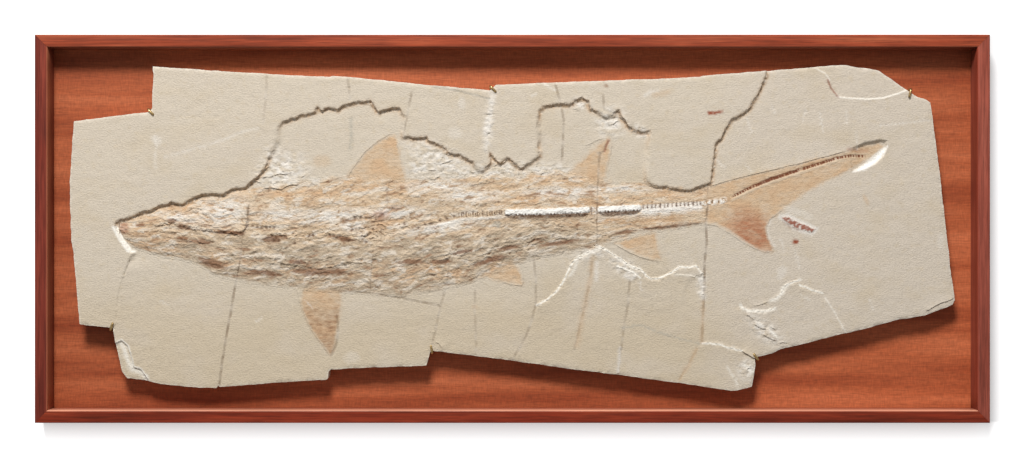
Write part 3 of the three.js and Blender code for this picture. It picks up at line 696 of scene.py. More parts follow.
tail_recess = roughened(TAIL_TIP_RECESS + TAIL_TIP_RECESS[:1], 0.4, BREAK_STEP, ROUGH_EDGE_SEED + 70)[:-1]
lit_tail_crescent = to_mm(LIT_TAIL_CRESCENT)
body_upper = to_mm(BODY_UPPER_EDGE)
body_lower = to_mm(BODY_LOWER_EDGE)
body_loop = np.vstack([body_upper, body_lower[::-1]])
tail_fin = to_mm(TAIL_FIN)
pectoral_fin = to_mm(PECTORAL_FIN)
fins = [
    to_mm(FIRST_DORSAL), to_mm(SECOND_DORSAL), tail_fin, to_mm(PELVIC_FIN), to_mm(ANAL_FIN), pectoral_fin,
]
loose_bone = to_mm(LOOSE_BONE)
backbone = resampled(to_mm(BACKBONE), 2.0)
skull_edge = roughened(SKULL_EDGE, 0.8, BREAK_STEP, ROUGH_EDGE_SEED + 75)
lips = [
    (height, fade, softness, roughened(route, wander, 0.8, seed + n))
    for routes, softness, wander, seed in (
        (TORN_LAYERS, 1.5, 0.8, 211), (BROKEN_EDGES, 0.4, 0.7, 251), (FIN_EDGES, 0.4, 0.3, 311))
    for n, (height, fade, route) in enumerate(routes)
]
cracks = [(width, depth, dark, roughened(route, 0.5, BREAK_STEP, ROUGH_EDGE_SEED + 100 + n))
          for n, (width, depth, dark, route) in enumerate(CRACKS)]
scratches = [to_mm(route) for route in SCRATCHES]


# Relief shared by the slab and the trunk, in millimetres above the frame's back
def undulation(x, y):
    slow = 0.35 * fbm(x / 95, y / 60, 3, 201)
    brushed = 0.2 * fbm(x / 11, y / 8, 3, 205) + 0.06 * ridged(x / 8, y / 6, 209)
    dents = 0.4 * smooth(0.4, 0.95, noise(x / 9, y / 6, 207))
    return slow + brushed - dents


def body_share(x, y):
    """How far down the body a point lies: 0 at its upper edge and 1 at its lower edge."""
    upper = np.interp(x, *body_upper.T)
    lower = np.interp(x, *body_lower.T)
    return np.clip((upper - y) / np.maximum(upper - lower, 1), 0, 1)


def flow(x, y):
    """Places along and across the skin's streaks, which run with the body's edges."""
    upper = np.interp(x, *body_upper.T)
    lower = np.interp(x, *body_lower.T)
    height = np.maximum(upper - lower, 8)
    across = (y - 0.5 * (upper + lower)) / height * SKIN_WIDTH * (height / SKIN_WIDTH) ** 0.6
    (start, _), (end, _) = to_mm(SLANTED_STREAKS)
    return x, across - STREAK_SLANT * np.clip(x - start, 0, end - start)


def flesh(x, y):
    """Relief of the preserved skin, and the painted light and shade of its streaks, flakes and chips."""
    u, v = flow(x, y)
    u = u + 5 * fbm(x / 24, y / 13, 2, 401)
    v = v + 2.0 * fbm(x / 18, y / 9, 3, 403)
    torn = zones(x, y, ROUGH_ZONES)
    rough = 0.4 + 0.55 * smooth(-0.4, 0.5, noise(x / 27, y / 13, 417)) + 0.5 * torn
    mounds = 0.75 * noise(u / 27, v / 11, 405) + (0.3 + 0.35 * torn) * ridged(u / 15, v / 6.5, 407)
    mounds += torn * (0.45 * noise(u / 8, v / 5.2, 408) + 0.4 * facets(u / 6.5, v / 4.6, 412))
    streaks = noise(u / 11, v / 3.2, 409) + 0.55 * ridged(u / 8, v / 2.6, 411)
    flakes = 0.34 * facets(u / 12, v / 5.0, 413) + 0.26 * facets(u / 5.5, v / 2.8, 415)
    chips = 0.42 * facets(x / 3.3, y / 2.6, 419) + 0.2 * noise(x / 2.1, y / 1.8, 423)
    height = mounds + rough * (0.19 * streaks + flakes + chips)
    # Painted light and shade: high where the relief stands up, low in its hollows
    shade = 0.8 * streaks + 1.4 * flakes + 0.6 * mounds + 1.5 * chips
    return height, shade


def body_mask(x, y):
    inside = signed(x, y, body_loop)
    soft = 0.3 + 0.7 * smooth(*SOFT_EDGE_COLUMNS, across_photo(x))
    fray = 4.5 * soft * fbm(x / 16, y / 10, 3, 421)
    return smooth(-3.5 * soft, 4.5 * soft, inside + fray), inside


def spine(x, y):
    """Offset from the backbone, positive above it, the place along it, and the photo's column."""
    gap, along, side = distance_to(x, y, backbone, 14)
    jitter = 0.5 * noise(along / 6, np.zeros_like(along), 300)
    return gap * side + jitter, along, across_photo(x)


def teeth(along, pitch):
    """A row of uneven vertebrae: 0 in the gaps between them and 1 on each one."""
    flat = np.zeros_like(along)
    wobble = along + 1.3 * noise(along / 8, flat, 301) + 0.8 * noise(along / 3.1, flat, 303)
    return 0.5 + 0.5 * np.cos(2 * math.pi * wobble / pitch)


def bare_bone(at, offset, along):
    """The two white lengths of backbone, with rounded, uneven ends and edges."""
    ragged = 0.5 * noise(along / 2.5, offset / 2.5, 306)
    ends = 0.1 * offset ** 2 + ragged
    lengths = (FIRST_BARE_BONE, SECOND_BARE_BONE)
    return sum(span(at, start + ends, stop - ends, 0.6) for start, stop in lengths)


def pits(x, y, size):
    """Small holes where the first vertebrae were: 1 in the middle of each."""
    total = np.zeros(x.shape)
    warp = 0.8 * noise(x / 2.2, y / 2.2, 443)
    for column, row, radius in PITS:
        (mx, my), = to_mm([(column, row)])
        gap = np.hypot(x - mx, (y - my) * 1.1) + warp
        total = np.maximum(total, np.exp(-(np.clip(gap, 0, None) / (size * radius * SCALE)) ** 2))
    specks = smooth(0.1, 0.6, noise(x / 3.4, y / 2.8, 441))
    return np.maximum(total, 0.8 * specks * blob(x, y, *RED_SPECKS))


def unevenness(along):
    """How open a crack is from place to place."""
    return np.clip(0.8 + 0.6 * fbm(along / 16, np.zeros_like(along), 3, 221), 0.15, 1.1)


def spine_relief(x, y):
    offset, along, at = spine(x, y)
    row = teeth(along, VERTEBRA_PITCH)
    bone = bare_bone(at, offset, along)
    lumpy = 0.85 + 0.3 * noise(along / 4, offset / 4, 304) + 0.15 * noise(along / 1.7, offset / 1.7, 308)
    dome = np.sqrt(np.clip(1 - ((offset - 0.6) / 3.6) ** 2, 0, 1))
    apron = smooth(-10.0, -2.4, offset) * (1 - smooth(3.0, 4.4, offset))
    raised = bone * (0.9 * dome * lumpy + 0.8 * apron)
    raised += 0.6 * bone * (row - 0.5) * np.exp(-((offset + 5.0) / 2.2) ** 2)
    fine_row = teeth(along, FRONT_PITCH)
    front = span(at, *FRONT_TICKS, 3) * np.exp(-((offset + 0.2) / 2.4) ** 2) * (0.35 * fine_row - 0.45)
    bar = span(at, *WHITE_BAR, 10) * 0.6 * np.exp(-((offset + 5.0) / 2.0) ** 2)
    rear_row = teeth(along, REAR_PITCH)
    rear = span(at, *REAR_BONE, 1) * (0.6 * np.exp(-((offset + 3.6) / 2.2) ** 2)
                                    + np.exp(-((offset - 1.4) / 2.2) ** 2) * (0.6 * rear_row - 0.5))
    clump = span(at, *BONE_CLUMP, 3) * np.exp(-(offset / 2.8) ** 2)
    clump = clump * (0.3 + noise(along / 4, offset / 3, 302))
    width = np.interp(at, GROOVE_COLUMNS, [1.8, 0.9])
    groove = span(at, *TAIL_BONE, 4) * np.exp(-((offset - 0.4) / width) ** 2) * (-0.8 + 0.4 * row)
    lip = span(at, *PALE_LIP, 2) * np.exp(-((offset + 2.6) / 1.7) ** 2) * 0.5
    return raised + front + bar + rear + clump + groove + lip - 1.1 * pits(x, y, 1.35)


def ledge_relief(x, y):
    """The upper layer of stone that stands round the lower bedding, with its broken edge."""
    window = signed(x, y, bedding_window)
    worn = zones(x, y, WORN_LEDGE)
    bevel = blob(x, y, *SNOUT_BEVEL)
    firm = 1 - np.maximum(worn, bevel)
    ragged = -window + firm * (1.1 * fbm(x / 5, y / 5, 3, 215) + 0.9 * facets(x / 4.2, y / 3.2, 217))
    wall = 2.2 + 2.2 * np.clip(0.5 + noise(x / 15, y / 15, 211), 0, 1.3) + 3.0 * worn + 1.4 * bevel
    step = smooth(-wall, 0.5 * wall, ragged)
    at = across_photo(x)
    down = down_photo(y)
    near_snout = 1 - smooth(*SNOUT_COLUMNS, at)
    level_with_it = near_snout * smooth(*SNOUT_LEVEL_ROWS, down) * np.exp(-np.clip(window, 0, 40) / 28)
    step = np.maximum(step, 0.82 * level_with_it * (window > 0))
    head = (1 - smooth(*HEAD_COLUMNS, at)) * (1 - smooth(*HEAD_ROWS, down))
    depth = (1 - worn) * np.clip(1.2 + 0.8 * head + 1.1 * noise(x / 26, y / 26, 213), 0.2, 3)
    depth = depth * (1 - 0.8 * near_snout * smooth(*SNOUT_MOAT_ROWS, down))
    moat = depth * smooth(-0.5, 1.0, window) * np.exp(-np.clip(window, 0, 40) / (4.5 + 2.5 * head))
    return UPPER_LAYER * step - moat, window


def lip_relief(x, y):
    total = np.zeros(x.shape)
    wander = fbm(x / 5, y / 3, 2, 447)
    for height, fade, softness, line in lips:
        gap, along, side = distance_to(x, y, line, min(40, 3.2 * fade + 4))
        length = length_of(line)
        end = min(5.0, length / 3)
        taper = smooth(0, end, along) * smooth(0, end, length - along)
        uneven = noise(along / 9, np.full(x.shape, 0.1 * length), 445)
        taper = taper * np.clip(0.85 + 0.6 * softness * uneven, 0.1, 1.4)
        raised = smooth(-1.3 * softness, 0.8 * softness, gap * side + 0.8 * softness * wander)
        total += height * taper * (raised * np.exp(-gap / fade) - 0.25 * (1 - raised) * np.exp(-gap / 1.6))
    return total


def face_height(x, y):
    at = across_photo(x)
    mask, inside = body_mask(x, y)
    calm = 1 - 0.5 * smooth(*CALM_SKIN_COLUMNS, at)
    slim = 1 - 0.6 * smooth(*SLIM_BODY_COLUMNS, at)
    z = BEDDING + undulation(x, y)
    z += mask * (BODY_CROWN * slim * np.sin(math.pi * body_share(x, y)) ** 0.9)
    z += mask * calm * flesh(x, y)[0]
    chunks = 0.9 * facets(x / 8, y / 5.5, 431) + 0.5 * facets(x / 3.6, y / 2.8, 433)
    chunks += 0.3 * ridged(x / 9, y / 5, 434)
    z += zones(x, y, RUBBLE) * (1 - 0.6 * mask) * chunks
    ledge, window = ledge_relief(x, y)
    z += ledge
    plate, _, side = distance_to(x, y, skull_edge, 40)
    head = smooth(*SKULL_START, at) * (1 - smooth(*SKULL_STOP, at)) * smooth(0, 4, window)
    edge = smooth(-1.0, 0.7, plate * side + 0.8 * fbm(x / 5, y / 3, 2, 449))
    z += head * smooth(-0.5, 6, inside) * 1.6 * edge * np.exp(-plate / 26)
    z -= CORNER_CHIP * smooth(-0.4, 1.4, signed(x, y, left_chip))
    z -= THIN_CHIP * smooth(-0.4, 0.9, signed(x, y, top_right_chip))
    fin_grain = 0.1 * fbm(x / 6, y / 3, 2, 435) + 0.14 * ridged(x / 14, y / 6, 437)
    for fin in fins:
        z += fin_grain * smooth(-2, 3, signed(x, y, fin, 14)) * (1 - mask)
    z -= TAIL_RECESS * smooth(-0.5, 4.6, signed(x, y, tail_recess)) * smooth(*RECESS_COLUMNS, at)
    z += 0.8 * smooth(-0.6, 1.6, signed(x, y, loose_bone) + 0.6 * noise(x / 3, y / 3, 439))
    for width, depth, _, line in cracks:
        gap, along, _ = distance_to(x, y, line, 8)
        z -= 0.6 * depth * unevenness(along) * np.exp(-(gap / width) ** 2)
    for line in scratches:
        z -= 0.12 * np.exp(-(distance_to(x, y, line, 4)[0] / 0.5) ** 2)
    z += lip_relief(x, y) + spine_relief(x, y)
    rim = signed(x, y, outline, 12)
    chip = 0.5 + 1.4 * np.clip(noise(x / 9, y / 9, 231) + 0.1, 0, 1)
    z -= chip * (1 - smooth(0, 1.1 + 0.9 * chip, rim))
    return np.minimum(z, FACE_LIMIT), window


# Colours, as they look in the light
MATRIX = seen(212, 199, 180)
MATRIX_WARM = seen(206, 189, 162)
MATRIX_GREY = seen(212, 199, 182)
CHALK = seen(234, 227, 217)
# Pale fresh broken stone, also used for painted highlights on walls that face the lamp
FRESH_BREAK_AND_HIGHLIGHT = seen(246, 240, 228)
SMOKE = seen(176, 171, 158)
# Dark brown for open cracks, and for painted shade below edges and in the skin's hollows
DIRT_AND_PAINTED_SHADE = seen(112, 88, 64)
FLESH_CREAM = seen(222, 200, 172)
FLESH_TAN = seen(207, 176, 141)
FLESH_BROWN = seen(148, 108, 78)
FLESH_GREY = seen(183, 167, 145)
SKIN_PALE = seen(226, 214, 198)
BARK = seen(128, 88, 62)
FLESH_ORANGE = seen(212, 174, 136)
# White of the bare bone, also used for a painted highlight
BONE_WHITE_AND_HIGHLIGHT = seen(252, 248, 240)
# Dark brown of the bone, also used for painted shade and painted shadow
BONE_DARK_AND_SHADE = seen(96, 64, 42)
BONE_RED = seen(118, 62, 36)
RUST = seen(150, 74, 46)
FIN_TAN = seen(211, 181, 147)
FIN_RED = seen(180, 124, 92)
TINTS = {
    "break_highlight": FRESH_BREAK_AND_HIGHLIGHT,
    "chalk": CHALK,
    "smoke": SMOKE,
    "tan": FLESH_TAN,
    "rust": RUST,
    "brown": FLESH_BROWN,
}


def paint(base, colour, amount):
    return base + (colour - base) * np.clip(amount, 0, 1)[:, None]


def matrix_pigment(x, y):
    at = across_photo(x)
    tint = np.repeat(MATRIX[None], len(x), axis=0)
    warm = smooth(*WARM_STONE_ROWS, down_photo(y)) * (1 - smooth(*WARM_STONE_COLUMNS, at))
    tint = paint(tint, MATRIX_WARM, 0.75 * warm)
    tint = paint(tint, MATRIX_GREY, 0.8 * smooth(*GREY_STONE_COLUMNS, at))
    tint = paint(tint, MATRIX_WARM, 0.6 * np.clip(fbm(x / 70, y / 45, 3, 501), 0, 1))
    tint = paint(tint, MATRIX_GREY, 0.5 * np.clip(fbm(x / 60, y / 40, 3, 505), 0, 1))
    tint = paint(tint, MATRIX_WARM, 0.5 * smooth(0.3, 0.9, fbm(x / 9, y / 6, 3, 507)))
    crumb = 0.5 + 0.5 * fbm(x / 9, y / 6, 3, 511)
    return paint(tint, CHALK, 0.85 * zones(x, y, RUBBLE) * smooth(0.2, 0.8, crumb))


def fin_pigment(x, y, tint):
    grain = fbm(x / 9, y / 3.4, 3, 541)
    veil = fbm(x / 26, y / 20, 2, 545)
    root = smooth(*PECTORAL_ROOT_ROWS, down_photo(y))
    for fin in fins:
        inside = signed(x, y, fin, 14) + 1.2 * fbm(x / 6, y / 6, 2, 543)
        if fin is pectoral_fin:
            inside = inside - 6 * (1 - root)
        tint = paint(tint, FIN_TAN, smooth(-2.0, 3.6, inside) * (0.9 + 0.3 * veil + 0.2 * grain))
        tint = paint(tint, FLESH_ORANGE, 0.5 * smooth(0.5, 3, inside) * smooth(-0.1, 0.8, veil))
        tint = paint(tint, FLESH_BROWN, 0.25 * smooth(0.5, 3, inside) * smooth(0.2, 0.9, grain))
    lobe = blob(x, y, *TAIL_LOBE) * smooth(-1, 2, signed(x, y, tail_fin, 14))
    tint = paint(tint, FIN_RED, lobe * (0.85 + 0.4 * veil + 0.3 * grain))
    low = smooth(*PECTORAL_TIP_ROWS, down_photo(y)) * smooth(-1, 2, signed(x, y, pectoral_fin, 14))
    tint = paint(tint, FLESH_BROWN, low * (0.38 + 0.4 * grain))
    bone = signed(x, y, loose_bone, 10) + 0.8 * noise(x / 3.2, y / 2.6, 547)
    tint = paint(tint, CHALK, 0.8 * smooth(-4.0, -1.0, bone))
    tint = paint(tint, RUST, 0.9 * smooth(-0.2, 1.2, bone) * smooth(-0.7, 0.1, noise(x / 4, y / 3, 549)))
    return tint


def trunk_pigment(x, y, tint):
    at = across_photo(x)
    share = body_share(x, y)
    mask, _ = body_mask(x, y)
    # streaks: the skin's painted light and shade from flesh(), high where it is raised, low in its hollows
    _, streaks = flesh(x, y)
    u, v = flow(x, y)
    u = u + 6 * fbm(x / 24, y / 13, 2, 535)
    mottle = fbm(u / 30, v / 11, 3, 531)
    smear = fbm(u / 15, v / 4.0, 3, 533)
    pale = fbm(u / 22, v / 7, 3, 537)
    rear = smooth(*REAR_SKIN_COLUMNS, at)
    low = smooth(0.4, 0.75, share + 0.2 * mottle) * (1 - smooth(*GREY_BELLY_COLUMNS, at))
    skin = np.repeat(FLESH_CREAM[None], len(x), axis=0)
    skin = paint(skin, FLESH_TAN, 0.45 + 0.6 * mottle + 0.45 * smear)
    skin = paint(skin, FLESH_GREY, 0.75 * low)
    skin = paint(skin, FLESH_GREY, 0.6 * zones(x, y, GREY_ZONES) * smooth(-0.6, 0.5, mottle))
    orange = np.maximum(zones(x, y, ORANGE_ZONES), 0.8 * rear)
    skin = paint(skin, FLESH_ORANGE, 0.75 * orange * smooth(-0.6, 0.8, smear + mottle))
    skin = paint(skin, SKIN_PALE, 0.8 * smooth(0.15, 0.7, pale + 0.3 * streaks) * (1 - 0.6 * rear))
    skin = paint(skin, CHALK, 0.95 * zones(x, y, WHITE_ZONES) * smooth(-0.8, 0.5, smear + 0.5 * streaks))
    skin = paint(skin, FLESH_BROWN, 0.75 * smooth(0.3, 1.1, -pale - 0.5 * smear) * (1 - 0.5 * rear))
    # Painted highlight on the raised skin and painted shade in its hollows, mixed with its own smears
    skin = paint(skin, FLESH_CREAM, 0.45 * smooth(0.3, 1.4, streaks))
    skin = paint(skin, FLESH_BROWN, 0.6 * smooth(0.2, 1.5, -streaks - 0.5 * smear))
    skin = paint(skin, DIRT_AND_PAINTED_SHADE, 0.5 * smooth(0.9, 2.0, -streaks - 0.8 * smear - 0.4 * mottle))
    for centre, half_sizes, turn in DARK_STROKES:
        stroke = smooth(0.05, 0.75, blob(x, y, centre, half_sizes, turn) + 0.35 * smear - 0.15 * streaks)
        skin = paint(skin, BARK, 0.75 * stroke * (blob(x, y, centre, half_sizes, turn) > 0))
    tint = tint + (skin - tint) * mask[:, None]
    # Painted shade below the edge of the skull's raised plate, stronger towards the back of the head
    gap, _, side = distance_to(x, y, skull_edge, 12)
    painted_shade_below = span(at, *SKULL_SHADE, 3) * np.where(side < 0, np.exp(-(gap / 2.2) ** 2), 0)
    painted_shade_below = painted_shade_below * (0.3 + 0.35 * smooth(*SKULL_SHADE_COLUMNS, at))
    return paint(tint, BONE_DARK_AND_SHADE, painted_shade_below * smooth(-0.7, 0.4, smear))


def spine_pigment(x, y, tint):
    offset, along, at = spine(x, y)
    row = teeth(along, VERTEBRA_PITCH)
    rough = noise(along / 1.8, offset / 1.8, 551)
    bone = bare_bone(at, offset, along)
    fur = noise(along / 1.3, offset / 4, 553)
    tint = paint(tint, BONE_WHITE_AND_HIGHLIGHT, bone * span(offset, -3.4, 3.4 + 1.1 * rough, 0.9))
    # Painted shadow below the white lengths of bone, broken into teeth by dark bone between the vertebrae
    fringe = smooth(0.9, 2.8, -offset - 1.7 * (row - 0.5) + 1.1 * rough)
    fringe = fringe * (1 - smooth(6.2, 10.0, -offset + 1.6 * fur))
    tint = paint(tint, BONE_DARK_AND_SHADE, bone * fringe * (0.75 + 0.5 * fur))
    gap = span(at, *BONE_GAP, 0.5) * span(offset, -5, 3.2, 1.2)
    tint = paint(tint, BONE_WHITE_AND_HIGHLIGHT, 0.7 * gap * smooth(-0.5, 0.4, rough))
    bars = np.exp(-((at - GAP_BARS[0]) / 0.6) ** 2) + np.exp(-((at - GAP_BARS[1]) / 0.7) ** 2)
    tint = paint(tint, BONE_DARK_AND_SHADE, 0.8 * gap * bars)
    fine_row = teeth(along, FRONT_PITCH)
    ticks = span(at, *FRONT_TICKS, 4) * span(offset, -2.6, 2.6 + rough, 1.0)
    tint = paint(tint, BONE_DARK_AND_SHADE, 0.85 * ticks * smooth(0.1, 0.9, 0.9 - fine_row + 0.6 * rough))
    bar = span(at, *WHITE_BAR, 12) * span(offset, -7.0, -3.4, 1.2)
    tint = paint(tint, BONE_WHITE_AND_HIGHLIGHT, 0.7 * bar * (0.8 + 0.4 * rough))
    rear_row = teeth(along, REAR_PITCH)
    rear = span(at, REAR_BONE[0] - 0.5, REAR_BONE[1], 0.8)
    tint = paint(tint, BONE_WHITE_AND_HIGHLIGHT, 0.8 * rear * span(offset, -6.4, 2.6, 1.2) * (0.85 + 0.3 * rough))
    ticks = rear * span(offset, -1.4, 3.2 + rough, 1.2)
    tint = paint(tint, BONE_DARK_AND_SHADE, 0.85 * ticks * smooth(0.3, 0.95, 0.95 - rear_row + 0.5 * rough))
    clump = span(at, *BONE_CLUMP, 2.5) * np.exp(-((offset + 0.8 * rough) / 3.0) ** 2)
    lump = noise(along / 4, offset / 3, 302) + 0.4 * rough
    tint = paint(tint, BONE_WHITE_AND_HIGHLIGHT, 0.95 * clump * smooth(-0.3, 0.2, lump))
    tint = paint(tint, BONE_DARK_AND_SHADE, 0.7 * clump * smooth(0.1, 0.5, -lump))
    width = np.interp(at, RED_ROW_COLUMNS, [1.2, 2.3, 1.1])
    tail = span(at, *TAIL_BONE, 2) * (1 - 0.7 * span(at, *TAIL_BREAK, 1.0))
    serrated = span(offset, -0.9 * width + 1.7 * row + 0.6 * rough, width, 0.7)
    tint = paint(tint, BONE_RED, 0.95 * tail * serrated)
    pale = span(at, *PALE_LIP, 3) * span(offset, -4.6, -1.2 - 0.6 * row, 0.9)
    tint = paint(tint, FLESH_CREAM, 0.85 * pale)
    return paint(tint, BONE_DARK_AND_SHADE, 0.8 * pits(x, y, 1.2))


def marks_pigment(x, y, tint):
    cloud = 0.5 + 0.5 * fbm(x / 3.2, y / 2.4, 3, 561)
    fray = 0.75 + 0.6 * np.clip(0.5 + fbm(x / 9, y / 9, 3, 571), 0, 1.3)
    for name, strength, centre, half_sizes, turn in STAINS:
        spread = blob(x, y, centre, half_sizes, turn) * (0.5 + cloud)
        tint = paint(tint, TINTS[name], strength * smooth(0.1, 0.7, spread))
    for width, _, dark, line in cracks:
        gap, along, _ = distance_to(x, y, line, 6)
        open_part = unevenness(along)
        tint = paint(tint, CHALK, 0.35 * (1 - open_part) * np.exp(-(gap / (3.0 * width)) ** 2))
        tint = paint(tint, DIRT_AND_PAINTED_SHADE, 0.8 * dark * open_part * np.exp(-(gap / (1.2 * width)) ** 2))
    for line in scratches:
        tint = paint(tint, CHALK, 0.6 * cloud * np.exp(-(distance_to(x, y, line, 4)[0] / 0.6) ** 2))
    for name, strength, width, route in TINT_LINES:
        gap = distance_to(x, y, roughened(route, 0.4, BREAK_STEP, 577), 8)[0]
        mark = np.exp(-(gap / (width * fray)) ** 2)
        tint = paint(tint, TINTS[name], strength * (0.7 + 0.4 * cloud) * mark)
    # Painted shadow just below each broken edge whose raised side lies above it
    for height, _, _, line in lips:
        gap, along, side = distance_to(x, y, line, 4)
        taper = smooth(0, 3, along) * smooth(0, 3, length_of(line) - along) * smooth(0.2, 0.9, cloud)
        painted_shade_below = np.where(side < 0, np.exp(-(gap / 1.2) ** 2), 0)
        falls_down = np.gradient(line[:, 0]).mean() > 0
        tint = paint(tint, DIRT_AND_PAINTED_SHADE, 0.25 * min(height, 1.2) * taper * painted_shade_below * falls_down)
    down = down_photo(y)
    window = signed(x, y, bedding_window)
    # Painted shade colour: tan, with paler and browner flecks, at the ledge's foot where its shade falls
    wall = np.exp(-((window - 1.6) / 2.6) ** 2)
    wall = wall * (1 - zones(x, y, WORN_LEDGE)) * (1 - smooth(*LEDGE_TINT_ROWS, down))
    grit = fbm(x / 3.0, y / 4.0, 2, 573)
    tint = paint(tint, FLESH_TAN, 0.8 * wall)
    tint = paint(tint, SKIN_PALE, 0.7 * wall * smooth(0.0, 0.5, grit))
    tint = paint(tint, FLESH_BROWN, 0.4 * wall * smooth(0.0, 0.6, -grit))
    # Painted highlight on the lit wall of the tail tip's recess
    tint = paint(tint, BONE_WHITE_AND_HIGHLIGHT, smooth(-0.7, 0.7, signed(x, y, lit_tail_crescent, 8)))
    # Painted highlight on the broken wall at the snout, which faces the lamp
    gap = distance_to(x, y, snout_break, 8)[0]
    snout_highlight = np.exp(-(gap / 2.5) ** 4) * span(down, *SNOUT_HIGHLIGHT_ROWS, 1.0)
    tint = paint(tint, FRESH_BREAK_AND_HIGHLIGHT, snout_highlight * (0.75 + 0.4 * cloud))
    rim = signed(x, y, outline, 8)
    return paint(tint, FRESH_BREAK_AND_HIGHLIGHT, 0.55 * np.exp(-(np.clip(rim, 0, 8) / 1.1) ** 2) * cloud)


def pigment(x, y):
    tint = matrix_pigment(x, y)
    tint = fin_pigment(x, y, tint)
    tint = trunk_pigment(x, y, tint)
    tint = spine_pigment(x, y, tint)
    return np.clip(marks_pigment(x, y, tint), 0.004, 0.95)


# Meshes
def hex_grid(low, high, step, rng):
    rows = np.arange(low[1], high[1], step * math.sqrt(3) / 2)
    columns = np.arange(low[0], high[0], step)
    x, y = np.meshgrid(columns, rows)
    x = x + (np.arange(len(rows)) % 2)[:, None] * step / 2
    jitter = rng.uniform(-0.22, 0.22, (2,) + x.shape) * step
    return np.stack([(x + jitter[0]).ravel(), (y + jitter[1]).ravel()], axis=1)


def rows_beside(line, offsets_and_steps):
    """Rows of points on both sides of a line, so that the mesh follows it."""
    rows = []
    for offset, step in offsets_and_steps:
        points = resampled(line, step)
        across = leftwards(np.gradient(points, axis=0))
        rows.append(points + offset * across)
        rows.append(points - offset * across)
    return np.vstack(rows)


def thinned(levels):
    """Keeps points level by level, leaving out those that fall in a cell already taken."""
    kept = np.zeros((0, 2))
    for points, cell in levels:
        taken = set(map(tuple, np.floor(kept / cell).astype(int)))
        keys = np.floor(points / cell).astype(int)
        _, first = np.unique(keys, axis=0, return_index=True)
        chosen = [n for n in sorted(first) if tuple(keys[n]) not in taken]
        kept = np.vstack([kept, points[chosen]])
    return kept


def inside_by(points, loop, margin):
    return points[signed(points[:, 0], points[:, 1], loop, 10) > margin]


def split(loop, line):
    """A loop cut in two along a line that crosses it."""
    line = inside_by(line, loop, 1.0)
    first = np.argmin(np.hypot(*(loop - line[0]).T))
    rolled = np.roll(loop, -first, axis=0)
    last = np.argmin(np.hypot(*(rolled - line[-1]).T))
    left = np.vstack([rolled[:last + 1], line[::-1]])
    right = np.vstack([rolled[last:], rolled[:1], line])
    return left, right


def triangulated(loop, points):
    """Triangles that fill a loop."""
    every = np.vstack([loop, points])
    rim = [(n, (n + 1) % len(loop)) for n in range(len(loop))]
    coords, _, faces, _, _, _ = delaunay_2d_cdt([Vector(p) for p in every], rim, [], 1, 1e-6)
    return np.array(coords), np.array(faces)


def border_loop(faces):
    edges = np.vstack([faces[:, [0, 1]], faces[:, [1, 2]], faces[:, [2, 0]]])
    known = set(map(tuple, edges.tolist()))
    following = {a: b for a, b in known if (b, a) not in known}
    start = min(following)
    loop = [start]
    while following[loop[-1]] != start and len(loop) < len(following):
        loop.append(following[loop[-1]])
    return np.array(loop)


def new_piece(name, points, polygons, material, sharp):
    mesh = bpy.data.meshes.new(name)
    mesh.from_pydata(np.asarray(points) * MM, [], polygons)
    mesh.shade_smooth()
    mesh.set_sharp_from_angle(angle=math.radians(sharp))
    mesh.materials.append(material)
    piece = bpy.data.objects.new(name, mesh)
    bpy.context.scene.collection.objects.link(piece)
    return piece


def tube_faces(rings, sides):
    """Faces of a closed tube made of rings of points, with flat ends."""
    faces = [list(range(sides)), [(rings - 1) * sides + n for n in range(sides)][::-1]]
    for ring in range(rings - 1):
        for n in range(sides):
            a = ring * sides + n
            b = ring * sides + (n + 1) % sides
            faces.append([a, a + sides, b + sides, b])
    return faces


def stone_piece(name, coords, faces, height, bottom, wall_rows, wall_rough, material):
    """A closed mesh: relief on top, broken walls round its border, and a flat back."""
    loop = border_loop(faces)
    rim = coords[loop]
    inward = leftwards(np.roll(rim, -1, axis=0) - np.roll(rim, 1, axis=0))
    run = np.arange(len(loop)) * OUTLINE_STEP
    walls = []
    for row in range(1, wall_rows + 1):
        z = height[loop] + (bottom - height[loop]) * row / wall_rows
        push = wall_rough * (0.5 + 0.5 * fbm(run / 17, np.full(run.shape, row * 0.9), 3, 601))
        walls.append(np.column_stack([rim + inward * np.clip(push, 0, 2 * wall_rough)[:, None], z]))
    points = np.vstack([np.column_stack([coords, height])] + walls)
    rings = [loop] + [len(coords) + n * len(loop) + np.arange(len(loop)) for n in range(wall_rows)]
    polygons = faces.tolist()
    for upper, lower in zip(rings[:-1], rings[1:]):
        next_upper = np.roll(upper, -1)
        next_lower = np.roll(lower, -1)
        polygons += np.column_stack([upper, lower, next_lower]).tolist()
        polygons += np.column_stack([upper, next_lower, next_upper]).tolist()
    polygons.append(rings[-1][::-1].tolist())
    piece = new_piece(name, points, polygons, material, 48)
    tint = pigment(points[:, 0].copy(), points[:, 1].copy())
    layer = piece.data.attributes.new("pigment", "FLOAT_COLOR", "POINT")
    layer.data.foreach_set("color", np.column_stack([tint, np.ones(len(tint))]).ravel())
    return piece


# Materials
def new_material(name):
    material = bpy.data.materials.new(name)
    material.use_nodes = True
    tree = material.node_tree
    shader = next(n for n in tree.nodes if n.type == "BSDF_PRINCIPLED")
    return material, tree, shader


def node(tree, kind, **settings):
    made = tree.nodes.new(kind)
    for key, value in settings.items():
        if key in made.inputs:
            made.inputs[key].default_value = value
        else:
            setattr(made, key, value)
    return made


def stretched(tree, scale):
    """Object coordinates, stretched by a scale on each axis."""
    place = node(tree, "ShaderNodeTexCoord")
    mapping = node(tree, "ShaderNodeMapping", Scale=scale)
    tree.links.new(place.outputs["Object"], mapping.inputs["Vector"])
    return mapping.outputs["Vector"]


